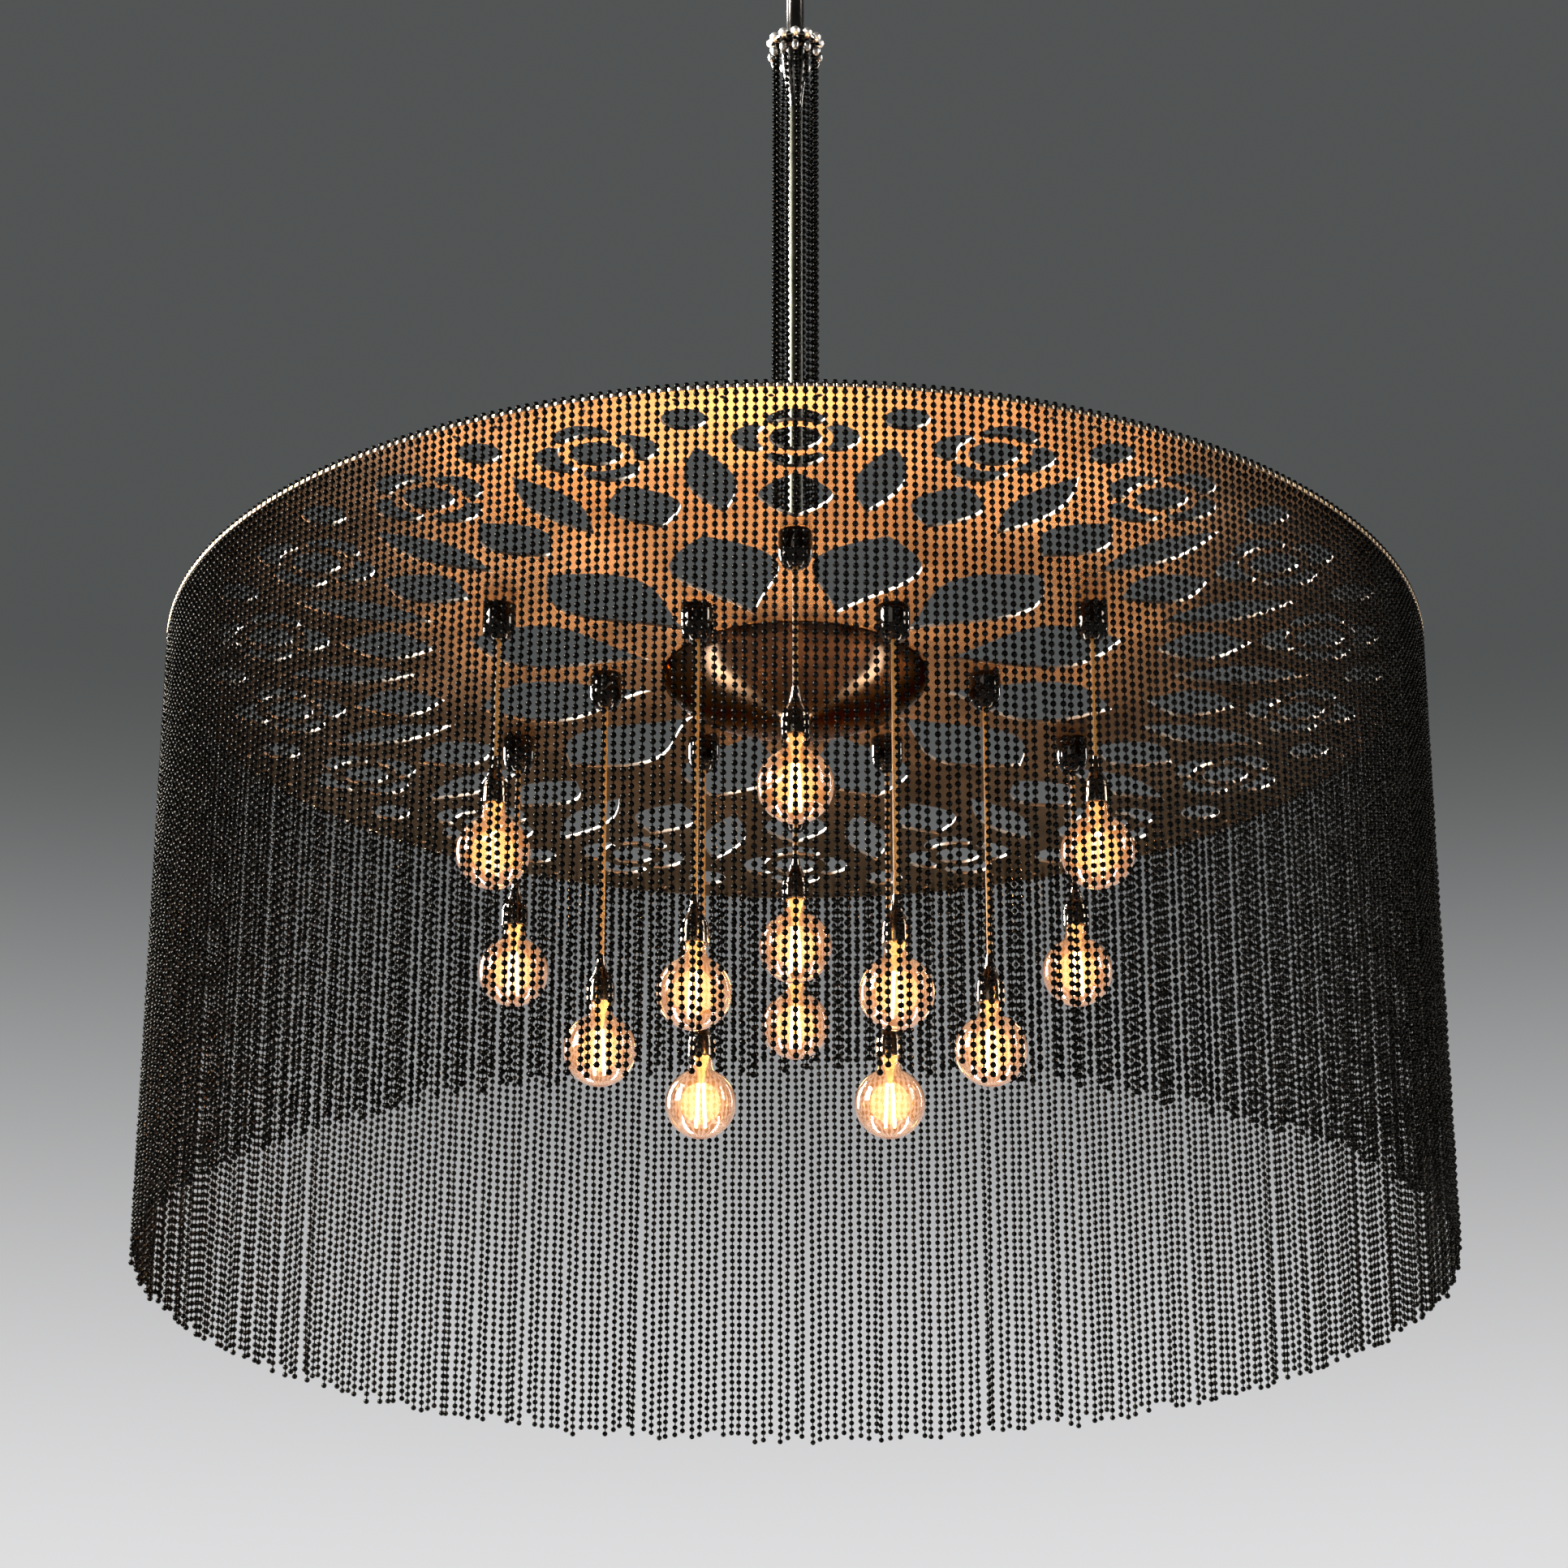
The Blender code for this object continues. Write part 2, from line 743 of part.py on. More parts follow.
def make_curtain(plate):
    """Ten sectors of chains, each fused to its stretch of the row of beads over the rim."""
    half_angle = half_turn / sector_count - rail_end_gap / (2 * drum_radius)
    steps = [half_angle * (2 * i / rail_steps - 1) for i in range(rail_steps + 1)]
    edge = [on_circle(drum_radius + rail_overhang, angle) for angle in steps]
    edge += [on_circle(drum_radius - rail_bearing, angle) for angle in reversed(steps)]
    rail = flat_mesh("curtain_rail", [edge], rail_thickness)
    pitch = full_turn / (sector_count * strands_per_sector)
    angles = [pitch * (i - (strands_per_sector - 1) / 2) for i in range(strands_per_sector)]
    mesh = strands_on(rail, "curtain", drum_radius, angles, rail_thickness / 2, -curtain_length)
    for i, turn in enumerate(ring_angles(sector_count)):
        place = (0.0, 0.0, plate_top + touch_gap)
        add_part(f"curtain_sector_{i + 1}", mesh, gunmetal, plate, place, turn)


def cord_mouth(bottom):
    """The end of a half section at a cord's exit: the lip, the flared mouth and the blind bore."""
    return [
        (grip_lip_radius, bottom),
        (grip_mouth_radius, bottom),
        (grip_bore_radius, bottom + grip_bore_depth),
        (0.0, bottom + grip_bore_depth),
    ]


def grip_section():
    """Half section of a cord grip, from the stud above the plate to the cord's exit."""
    stud_top = plate_thickness + 2 * touch_gap + grip_stud_height
    return [
        (0.0, stud_top),
        (grip_stud_radius, stud_top),
        (grip_stud_radius, 0.0),
        (grip_radius, 0.0),
        (grip_radius, -grip_side),
        (grip_nose_radius, grip_nose_rise - grip_length),
        *cord_mouth(-grip_length),
    ]


def dome_section():
    """Half section of the hollow dome, from its inner floor over the rim to the cord's exit."""
    return [
        (0.0, -dome_floor_drop),
        (dome_floor_radius, -dome_floor_drop),
        (dome_foot_radius - dome_wall, dome_floor_rise - dome_foot_drop),
        (dome_waist_radius - dome_wall, dome_floor_rise - dome_waist_drop),
        (dome_radius - dome_wall, -dome_side),
        (dome_radius - dome_wall, 0.0),
        (dome_radius, 0.0),
        (dome_radius, -dome_side),
        (dome_waist_radius, -dome_waist_drop),
        (dome_foot_radius, -dome_foot_drop),
        (dome_neck_radius, -dome_neck_drop),
        (dome_neck_radius, grip_nose_rise - dome_depth),
        *cord_mouth(-dome_depth),
    ]


def holder_section(arm):
    """Half section of a flex and its lampholder, whose bulb's centre lies an arm below."""
    foot = bulb_neck_top + touch_gap - arm
    socket = outside(cap_radius + socket_clearance, swing_sides)
    return [
        (0.0, 0.0),
        (flex_radius, 0.0),
        (flex_radius, foot + holder_length),
        (holder_waist_radius, foot + holder_waist_rise),
        (holder_shoulder_radius, foot + holder_shoulder_rise),
        (holder_radius, foot + holder_side),
        (holder_radius, foot),
        (socket, foot),
        (socket, foot + socket_depth),
        (0.0, foot + socket_depth),
    ]


def bulb_section():
    """Half section of a globe bulb with its screw cap, about the globe's centre."""
    first = math.asin(bulb_neck_radius / bulb_radius)
    angles = [first + (half_turn - first) * i / globe_steps for i in range(globe_steps)]
    globe = [(bulb_radius * math.sin(angle), bulb_radius * math.cos(angle)) for angle in angles]
    return [
        (0.0, bulb_neck_top + cap_length),
        (cap_radius, bulb_neck_top + cap_length),
        (cap_radius, bulb_neck_top),
        (bulb_neck_radius, bulb_neck_top),
        *globe,
        (0.0, -bulb_radius),
    ]


def make_pendants(plate):
    """The cord grips and the dome under the plate, with the pendants that swing in them."""
    dome = turned_mesh("middle_dome", dome_section(), dome_sides)
    grip = turned_mesh("cord_grip", grip_section(), grip_sides)
    bulb = turned_mesh("globe_bulb", bulb_section(), swing_sides)
    rings = [
        ("middle", 0.0, [0.0], middle_bulb_drop, dome_depth, dome),
        ("outer", outer_ring_radius, outer_angles, outer_bulb_drop, grip_length, grip),
        ("inner", inner_ring_radius, inner_angles, inner_bulb_drop, grip_length, grip),
    ]
    for ring, radius, angles, bulb_drop, carrier_length, carrier_mesh in rings:
        pivot = dome_top - carrier_length + grip_bore_depth - flex_top_gap
        bulb_z = plate_bottom - bulb_drop
        holder = turned_mesh("lampholder_" + ring, holder_section(pivot - bulb_z), swing_sides)
        for i, angle in enumerate(angles):
            x, y = on_circle(radius, angle)
            suffix = ring if len(angles) == 1 else f"{ring}_{i + 1}"
            carrier = "middle_dome" if ring == "middle" else "cord_grip_" + suffix
            add_part(carrier, carrier_mesh, black_nickel, plate, (x, y, dome_top), angle)
            lampholder = add_part(
                "lampholder_" + suffix, holder, wired_bronze, plate, (x, y, pivot), quarter_turn
            )
            add_part("bulb_" + suffix, bulb, clear_glass, lampholder, (x, y, bulb_z))


def make_chandelier():
    """Every sub-part, from the ceiling down."""
    bracket = make_ceiling_bracket()
    block = make_swivel_block(bracket)
    stem = make_stem(block)
    make_canopy(stem)
    rod = make_hanger_rod(stem)
    make_column(make_chain_collar(rod))
    plate = make_plate(make_hub_flange(rod))
    make_wiring(plate)
    make_curtain(plate)
    make_pendants(plate)


make_chandelier()
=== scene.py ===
"""Looks of the drum chandelier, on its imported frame. Metres, +Z up, angle 0 is the front at -Y."""
import math

import bmesh
import bpy
import numpy as np
from mathutils import Matrix, Vector


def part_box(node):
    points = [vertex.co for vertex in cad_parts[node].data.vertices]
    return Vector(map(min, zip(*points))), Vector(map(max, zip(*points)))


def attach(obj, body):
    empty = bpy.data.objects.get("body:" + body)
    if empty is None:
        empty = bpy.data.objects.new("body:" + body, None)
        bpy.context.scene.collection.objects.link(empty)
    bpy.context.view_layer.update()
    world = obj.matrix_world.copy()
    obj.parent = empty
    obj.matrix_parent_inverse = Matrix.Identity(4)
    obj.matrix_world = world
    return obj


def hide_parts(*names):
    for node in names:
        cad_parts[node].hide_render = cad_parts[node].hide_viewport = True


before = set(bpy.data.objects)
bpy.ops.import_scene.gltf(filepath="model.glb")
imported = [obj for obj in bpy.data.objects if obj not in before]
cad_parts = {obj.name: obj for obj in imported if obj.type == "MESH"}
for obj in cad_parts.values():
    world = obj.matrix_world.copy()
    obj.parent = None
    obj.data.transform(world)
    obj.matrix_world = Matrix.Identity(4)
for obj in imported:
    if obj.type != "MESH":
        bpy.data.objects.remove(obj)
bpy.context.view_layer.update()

# Photo's camera
photo_width = 1932.0
focal_pixels = 5499.0
axis_offset_pixels = 14.0
camera_pitch = math.radians(22.42)
camera_distance = 3.282
camera_height = -2.1985
sensor_width = 36.0

# Ball chain
chain_pitch = 0.0064
bead_radius = 0.0023
bead_sides = 8
bead_rings = 4
link_radius = 0.0006
link_sides = 3
hang_gap = 0.0024
perch_height = 0.0017
touch_gap = 0.0003

# Curtain
curtain_radius = 0.4990
sector_count = 10
chains_per_sector = 45
curtain_beads = 78
extra_beads = [0, 0, 1, 1, 1]
spacing_spread_share = 0.0035
start_spread = 0.0003
sway_spread = 0.0009
sway_power = 1.4
ripple_height = 0.00022
ripple_length = 0.055
ripple_rise = 8
curtain_seed = 11

# Rosette plate
plate_radius = 0.5010
notch_depth = 0.0026
notch_width = 0.0017
rim_margin = 0.006
wall_slope = 0.5
plate_bevel = 0.0003
outer_ring_radius = 0.265
inner_ring_radius = 0.152
pendants_per_ring = 6
inner_ring_offset = 0.5
pendant_rings = [("outer", outer_ring_radius, 0.0), ("inner", inner_ring_radius, inner_ring_offset)]
pendant_margin = 0.025
band_end = 0.4735
petal_count = 12
dome_radius = 0.107
petal_margin = 0.011
petal_tip_margin = 0.022
petal_width_share = 0.56
petal_widest_share = 0.62
rosette_folds = 18
leaf_length_share = 0.414
leaf_width_share = 0.48
dart_inner_share = 0.065
dart_length_share = 0.61
dart_width_share = 0.29
roundel_place_share = 0.711
lobe_offset_share = 0.131
lobe_radius_share = 0.1225
lobe_count = 4
lobe_steps = 12
eyelet_place_share = 0.91
eyelet_radius_share = 0.09
roundel_ring_outer = 0.0275
roundel_ring_inner = 0.0190
roundel_bridge = math.radians(7.0)
pearl_count = 90
pearl_ring = 0.4875
pearl_radius = 0.0022
pearl_steps = 10
leaf_steps = 18
hole_steps = 28
stud_hole_radius = 0.0054

# Column of chains, its collar and the rod in it
column_strands = 12
column_radius = 0.0178
column_bead_sides = 12
column_bead_rings = 7
column_twist = math.radians(7.5)
twist_drop = 0.060
column_end_height = 0.0065
column_wave_height = 0.0004
column_wave_step = 0.11
column_seed = 5
collar_radius = 0.0215
collar_bore = 0.0055
collar_bevel = 0.0004
collar_notch_radius = 0.0152
collar_notch_width = 0.0044
collar_edge_shares = (0.3, 0.5, 0.7)
hook_ball_radius = 0.0041
hook_ball_ring = 0.0203
hook_ball_sides = 20
hook_ball_rings = 12
end_cap_radius = 0.0031
end_cap_height = 0.0048
end_cap_drop = 0.0135
rod_radius = 0.0060
rod_bore = 0.0028
spigot_radius = 0.0050
cone_seam_drop = 0.059
cone_profile = [
    (0.0118, 0.0),
    (0.0116, 0.012),
    (0.0107, 0.024),
    (0.0087, 0.036),
    (0.0070, 0.048),
    (rod_radius, 0.060),
]

# Stem: the tube, its foot disc under the fork and the ferrule at its lower end
stem_radius = 0.0075
stem_bore = 0.0055
stem_foot_radius = 0.0125
stem_foot_bore = 0.0030
stem_foot_height = 0.0040
fork_height = 0.0185
ferrule_radius = 0.0086
ferrule_tip_radius = 0.0078
ferrule_height = 0.0080
ferrule_edge = 0.0008

# Canopy, as (radius, drop from its top), and its locking collar
canopy_radius = 0.0600
canopy_wall = 0.0015
canopy_hole = 0.0082
canopy_floor_radius = 0.020
canopy_sides = 96
canopy_lip = [(0.0600, 0.002), (0.0594, 0.003)]
canopy_profile = [(0.060, 0.035), (0.0585, 0.043), (0.050, 0.050), (0.034, 0.0545)]
canopy_inner_profile = [(0.049, 0.0475), (0.0585, 0.034), (0.0585, 0.0)]
canopy_collar_radius = 0.0120
canopy_collar_bore = 0.0081

# Hub flange
hub_stud_radius = 0.0060
hub_radius = 0.0300
hub_rim_height = 0.0040
hub_shoulder_radius = 0.0120
hub_shoulder_height = 0.0046
hub_boss_radius = 0.0110
hub_boss_height = 0.0070
hub_bore = 0.0064
hub_bore_depth = 0.0120

# Wiring on the plate
terminal_inner_radius = 0.0308
terminal_outer_radius = 0.0452
terminal_edge = 0.0018
lead_radius = 0.0024
lead_height = 0.0028
lead_start = 0.0440
lead_end_margin = 0.0055
lead_points = 9
lead_wander = 0.012
lead_roundness = 4

# Cord grips, as (radius, height over the grip's seat), and their nuts
grip_stud = [(0.0, 0.0106), (0.0048, 0.0106), (0.0050, 0.0102), (0.0050, 0.0)]
grip_cup = [
    (0.0126, 0.0),
    (0.0130, -0.0004),
    (0.0130, -0.0046),
    (0.0127, -0.0049),
    (0.0130, -0.0052),
]
grip_nose = [
    (0.0130, -0.0150),
    (0.0128, -0.0185),
    (0.0117, -0.0225),
    (0.0098, -0.0258),
    (0.0074, -0.0280),
    (0.0052, -0.0290),
]
grip_mouth = [(0.0046, -0.0291), (0.0040, -0.0286), (0.0030, -0.0255), (0.0, -0.0250)]
nut_sides = 6
nut_radius = 0.0085
nut_height = 0.0038
nut_bevel = 0.0005
nut_bevel_profile = 0.6
nut_middle_height = 0.0022

# Middle dome, as (radius, height over its rim)
dome_sides = 128
dome_profile_steps = 6
dome_rim = [(0.1045, 0.0), (0.1066, 0.0), (0.1070, -0.0006)]
dome_bowl = [
    (0.1068, -0.0030),
    (0.1030, -0.0095),
    (0.0920, -0.0180),
    (0.0780, -0.0250),
    (0.0600, -0.0303),
    (0.0400, -0.0347),
    (0.0220, -0.0376),
    (0.0150, -0.0395),
    (0.0125, -0.0430),
]
dome_neck = [(0.0125, -0.0540), (0.0118, -0.0575), (0.0100, -0.0592), (0.0056, -0.0600)]
dome_mouth = [(0.0046, -0.0600), (0.0040, -0.0594), (0.0034, -0.0530), (0.0, -0.0525)]

# Pendants: the lampholder as (radius, height over its foot), the bulb about its globe's centre
flex_radius = 0.0021
flex_points = 16
flex_roundness = 6
holder_sleeve = [(0.0080, 0.0040), (0.0088, 0.0), (0.0106, 0.0), (0.0110, 0.0005), (0.0110, 0.0135)]
holder_flame = [
    (0.0107, 0.0145),
    (0.0101, 0.0175),
    (0.0086, 0.0205),
    (0.0064, 0.0245),
    (0.0046, 0.0290),
    (0.0034, 0.0345),
    (0.0026, 0.0400),
]
holder_tip = (0.0019, 0.0401)
bulb_radius = 0.0285
bulb_neck_radius = 0.0085
bulb_neck = [(0.0098, 0.0295), (0.0088, 0.0335), (bulb_neck_radius, 0.0380)]
bulb_shoulder_share = 1.35
bulb_steps = 30
bulb_sides = 40
glass_wall = 0.0006
glass_floor_height = -0.02
cap_sides = 24
cap_tip = [(0.0, 0.0600), (0.0022, 0.0600), (0.0030, 0.0585), (0.0064, 0.0572)]
thread_turns = 5
thread_top = 0.0555
thread_pitch = 0.0030
thread_crest_radius = 0.0068
thread_crest_rise = 0.0006
thread_root_radius = 0.0061
thread_root_drop = 0.0009
cap_foot = [(0.0068, 0.0400), (0.0068, 0.0382)]
glass_mount = [(0.0040, 0.0300), (0.0026, 0.0200), (0.0016, 0.0150), (0.0, 0.0148)]
holder_rise = 0.0383
holder_length = 0.040
filament_count = 4
filament_sides = 8
filament_radius = 0.0011
filament_top = 0.016
filament_bottom = -0.019
filament_top_ring = 0.0030
filament_bottom_ring = 0.0052

# Windows, as (name, place, size, power, colour), and the height that they face
window_aim_height = -0.95
window_white = (1.0, 0.99, 0.97)
window_warm = (1.0, 0.98, 0.95)
gloss_windows = [
    ("window_left", (-3.25, -0.57, 0.5), (1.2, 2.6), 1900.0, window_white),
    ("window_left_back", (-2.68, 2.09, 0.5), (0.9, 2.6), 2600.0, window_white),
    ("window_right", (3.25, -0.57, 0.5), (0.8, 2.6), 170.0, window_warm),
    ("window_right_back", (2.79, 1.95, 0.5), (0.25, 2.6), 55.0, window_warm),
    ("low_left", (-1.35, 0.95, -2.6), (2.4, 0.35), 140.0, window_white),
    ("low_right", (1.35, 0.95, -2.6), (2.4, 0.25), 80.0, window_warm),
]
front_window = ("window_front", (-1.2, -3.3, 0.3), (1.6, 1.2), 14.0, (1.0, 0.99, 0.98))

# Globes' light, floor and backdrop
globe_light_power = 15.0
globe_light_colour = (1.0, 0.48, 0.19)
globe_light_radius = 0.02
floor_height = -2.75
floor_reach = 14.0
floor_colour = (0.78, 0.78, 0.79)
floor_roughness = 0.8
backdrop_band = (0.19, 0.41)
pale_backdrop = (0.75, 0.75, 0.76)
dark_backdrop = (0.085, 0.09, 0.09)
even_light = 0.80

# Settings of the materials
noise_band = (0.3, 0.7)
cloud_stops = (0.35, 0.65)
haze_scale_share = 2.3
grain_strength = 0.4
white_edge = (1.0, 1.0, 1.0)
dark_edge = (0.15, 0.148, 0.143)
bronze_edge = (0.42, 0.39, 0.36)
thread_count = 6.0
thread_lift = 2600.0
# Painted glow of the bulb glass: emission colours from where the glass faces the view out to its edges,
# standing in for the filament's light in the glass
painted_globe_glow = [
    (0.0, (1.0, 0.46, 0.12)),
    (0.9, (0.0, 0.0, 0.0)),
    (0.12, (0.66, 0.24, 0.05)),
    (0.4, (0.18, 0.05, 0.01)),
]

# General
full_turn = math.tau
half_turn = math.pi
quarter_turn = math.pi / 2
turned_sides = 48
profile_steps = 8
small_profile_steps = 5
round_edge = 0.0005
round_steps = 3
edge_reach_share = 0.45
weld_distance = 0.000002
sharp_angle = math.radians(35.0)

collection = bpy.context.scene.collection
plate_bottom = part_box("rosette_plate")[0].z
plate_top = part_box("rosette_plate")[1].z


def on_circle(radius, angle):
    """A point on a circle about the Z axis."""
    return radius * math.sin(angle), -radius * math.cos(angle)


def ring_angles(count, offset_share=0.0):
    """Even angles round the axis, moved on by a share of their spacing."""
    return [full_turn * (i + offset_share) / count for i in range(count)]


def piece(name, mesh, body, nodes, place=(0.0, 0.0, 0.0)):
    """A shown piece in its place, which rides on a body and stands for CAD nodes."""
    obj = bpy.data.objects.new(name, mesh)
    collection.objects.link(obj)
    obj.location = place
    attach(obj, body)
    if nodes:
        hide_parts(*nodes)
    return obj


def hung(profile, top):
    """A profile of (radius, drop) points under a height."""
    return [(radius, top - drop) for radius, drop in profile]


# Materials


def new_material(name):
    """A material with its node lists and its Principled shader."""
    material = bpy.data.materials.new(name)
    material.use_nodes = True
    nodes = material.node_tree.nodes
    return material, nodes, material.node_tree.links, nodes["Principled BSDF"]


def noise(nodes, links, vector, scale, detail=3.0):
    """A noise texture on a vector."""
    texture = nodes.new("ShaderNodeTexNoise")
    texture.inputs["Scale"].default_value = scale
    texture.inputs["Detail"].default_value = detail
    links.new(vector, texture.inputs["Vector"])
    return texture.outputs["Fac"]


def ramp(nodes, links, value, stops, course="LINEAR"):
    """Colours for a value, as stops (place, colour)."""
    node = nodes.new("ShaderNodeValToRGB")
    node.color_ramp.interpolation = course
    for element, (place, colour) in zip(node.color_ramp.elements, stops):
        element.position = place
        element.color = (*colour, 1.0)
    for place, colour in stops[2:]:
        node.color_ramp.elements.new(place).color = (*colour, 1.0)
    links.new(value, node.inputs["Fac"])
    return node.outputs["Color"]


def spread(nodes, links, value, band, limits=(0.0, 1.0)):
    """A value in a band of numbers, spread between two limits."""
    node = nodes.new("ShaderNodeMapRange")
    node.inputs["From Min"].default_value, node.inputs["From Max"].default_value = band
    node.inputs["To Min"].default_value, node.inputs["To Max"].default_value = limits
    links.new(value, node.inputs["Value"])
    return node.outputs["Result"]


def calculated(nodes, links, operation, *values):
    """The result of a math node on values, each one a number or another node's output."""
    node = nodes.new("ShaderNodeMath")
    node.operation = operation
    for place, value in enumerate(values):
        if isinstance(value, float):
            node.inputs[place].default_value = value
        else:
            links.new(value, node.inputs[place])
    return node.outputs[0]


def bumped(nodes, links, shader, height, strength, distance):
    """Raises the surface by a height value."""
    bump = nodes.new("ShaderNodeBump")
    bump.inputs["Strength"].default_value = strength
    bump.inputs["Distance"].default_value = distance
    links.new(height, bump.inputs["Height"])
    links.new(bump.outputs["Normal"], shader.inputs["Normal"])


def metal(name, dark, pale, cloud_scale, roughness, edge=white_edge, grain=None):
    """Metal whose colour, roughness and, with a grain (scale, height), surface vary a little."""
    material, nodes, links, shader = new_material(name)
    shader.inputs["Metallic"].default_value = 1.0
    shader.inputs["Specular Tint"].default_value = (*edge, 1.0)
    place = nodes.new("ShaderNodeTexCoord").outputs["Object"]
    cloud = noise(nodes, links, place, cloud_scale)
    stops = list(zip(cloud_stops, (dark, pale)))
    links.new(ramp(nodes, links, cloud, stops), shader.inputs["Base Color"])
    haze = noise(nodes, links, place, cloud_scale * haze_scale_share)
    links.new(spread(nodes, links, haze, noise_band, roughness), shader.inputs["Roughness"])
    if grain:
        scale, height = grain
        bumped(nodes, links, shader, noise(nodes, links, place, scale, 1.0), grain_strength, height)
    return material


def spin(material, stretch):
    """Gives a metal fine turned grooves round the Z axis, which draw highlights out along the section."""
    nodes = material.node_tree.nodes
    shader = nodes["Principled BSDF"]
    grooves = nodes.new("ShaderNodeTangent")
    grooves.direction_type = "RADIAL"
    grooves.axis = "Z"
    material.node_tree.links.new(grooves.outputs["Tangent"], shader.inputs["Tangent"])
    shader.inputs["Anisotropic"].default_value = stretch
    shader.inputs["Anisotropic Rotation"].default_value = 0.25


def textile(name, dark, pale):
    """Braided cord cover: two sets of threads that wind round the cord's own axis, with painted shade in
    the low parts between them.
    """
    material, nodes, links, shader = new_material(name)
    shader.inputs["Roughness"].default_value = 0.7
    shader.inputs["Specular IOR Level"].default_value = 0.1
    split = nodes.new("ShaderNodeSeparateXYZ")
    links.new(nodes.new("ShaderNodeTexCoord").outputs["Object"], split.inputs["Vector"])
    around = calculated(nodes, links, "ARCTAN2", split.outputs["Y"], split.outputs["X"])
    threads = calculated(nodes, links, "MULTIPLY", around, thread_count)
    rise = calculated(nodes, links, "MULTIPLY", split.outputs["Z"], thread_lift)
    sides = []
    for operation in ("ADD", "SUBTRACT"):
        wound = calculated(nodes, links, operation, threads, rise)
        sides.append(calculated(nodes, links, "SINE", wound))
    weave = calculated(nodes, links, "MULTIPLY_ADD", *sides, 0.5)
    # Painted shade: where the weave is low between the threads the colour goes dark; the same weave raises
    # the threads by bump
    threads_and_painted_shade = ramp(nodes, links, weave, [(0.15, dark), (0.75, pale)])
    links.new(threads_and_painted_shade, shader.inputs["Base Color"])
    bumped(nodes, links, shader, weave, 0.6, 0.0004)
    return material


def lit_glass(name, tint, warm_tint, glow, painted_glow_strength):
    """Clear bulb glass with a warm tint, fine streaks and a painted glow: the filament's light painted into
    the glass as emission, brightest where the glass faces the view and fading to its edges.
    """
    material, nodes, links, shader = new_material(name)
    shader.inputs["Transmission Weight"].default_value = 1.0
    shader.inputs["IOR"].default_value = 1.45
    shader.inputs["Emission Strength"].default_value = painted_glow_strength
    place = nodes.new("ShaderNodeTexCoord").outputs["Object"]
    slope = nodes.new("ShaderNodeLayerWeight").outputs["Facing"]
    # Painted glow: the glass itself emits, brightest where it faces the view
    links.new(ramp(nodes, links, slope, glow), shader.inputs["Emission Color"])
    cloud = noise(nodes, links, place, 60.0)
    stops = list(zip(noise_band, (tint, warm_tint)))
    links.new(ramp(nodes, links, cloud, stops), shader.inputs["Base Color"])
    links.new(spread(nodes, links, cloud, noise_band, (0.0, 0.03)), shader.inputs["Roughness"])
    bumped(nodes, links, shader, noise(nodes, links, place, 120.0, 1.0), 0.25, 0.0004)
    return material


def glowing(name, colour, strength):
    """A hot filament, brighter in spots."""
    material, nodes, links, shader = new_material(name)
    shader.inputs["Emission Strength"].default_value = strength
    place = nodes.new("ShaderNodeTexCoord").outputs["Object"]
    spots = noise(nodes, links, place, 700.0, 1.0)
    hot = tuple(min(1.0, part * 1.15) for part in colour)
    stops = list(zip(cloud_stops, (colour, hot)))
    links.new(ramp(nodes, links, spots, stops), shader.inputs["Emission Color"])
    return material


gunmetal = metal(
    "gunmetal_bead", (0.004, 0.0039, 0.0036), (0.011, 0.0105, 0.0098), 190.0, (0.09, 0.14), dark_edge
)
link_metal = metal(
    "gunmetal_link", (0.006, 0.0057, 0.0055), (0.015, 0.014, 0.013), 220.0, (0.15, 0.25), dark_edge
)
pale_cap = metal(
    "pale_end_cap", (0.50, 0.48, 0.44), (0.66, 0.64, 0.60), 160.0, (0.28, 0.40), grain=(900.0, 0.00001)
)
grey_cap = metal("grey_end_cap", (0.15, 0.145, 0.135), (0.24, 0.23, 0.215), 160.0, (0.24, 0.34))
mirror_plate = metal(
    "polished_plate", (0.10, 0.077, 0.056), (0.145, 0.115, 0.085), 7.0, (0.21, 0.29), bronze_edge
)
# The plate's top face gets a much darker, rougher copy of the plate's metal: painted shade that keeps the
# windows' glare off the top
shaded_plate_top = metal("shaded_plate_top", (0.010, 0.009, 0.008), (0.018, 0.016, 0.014), 12.0, (0.38, 0.5), dark_edge)
cut_edge = metal("laser_cut_edge", (0.035, 0.029, 0.023), (0.06, 0.05, 0.04), 90.0, (0.42, 0.55))
black_nickel = metal("black_nickel", (0.014, 0.012, 0.010), (0.026, 0.023, 0.020), 30.0, (0.06, 0.10))
dome_nickel = metal(
    "dome_nickel", (0.024, 0.014, 0.008), (0.044, 0.028, 0.018), 14.0, (0.15, 0.20), bronze_edge
)
spin(dome_nickel, 0.85)
dark_bronze = metal("dark_bronze", (0.06, 0.055, 0.048), (0.10, 0.092, 0.082), 36.0, (0.10, 0.18))
black_cone = metal("black_cone", (0.03, 0.028, 0.026), (0.06, 0.056, 0.05), 50.0, (0.12, 0.2))
olive_rod = metal(
    "olive_rod", (0.008, 0.008, 0.005), (0.015, 0.0145, 0.010), 60.0, (0.34, 0.46), grain=(700.0, 0.00001)
)
zinc_steel = metal(
    "zinc_steel", (0.055, 0.057, 0.06), (0.09, 0.092, 0.095), 90.0, (0.32, 0.5), grain=(800.0, 0.00002)
)
holder_metal = metal("lampholder_metal", (0.065, 0.05, 0.037), (0.11, 0.088, 0.066), 70.0, (0.06, 0.10))
cap_brass = metal(
    "bulb_cap", (0.50, 0.40, 0.24), (0.66, 0.55, 0.36), 120.0, (0.22, 0.36), grain=(900.0, 0.00001)
)
gold_textile = textile("gold_textile", (0.20, 0.09, 0.018), (0.60, 0.34, 0.08))
black_textile = textile("black_sleeve", (0.012, 0.012, 0.012), (0.05, 0.05, 0.05))
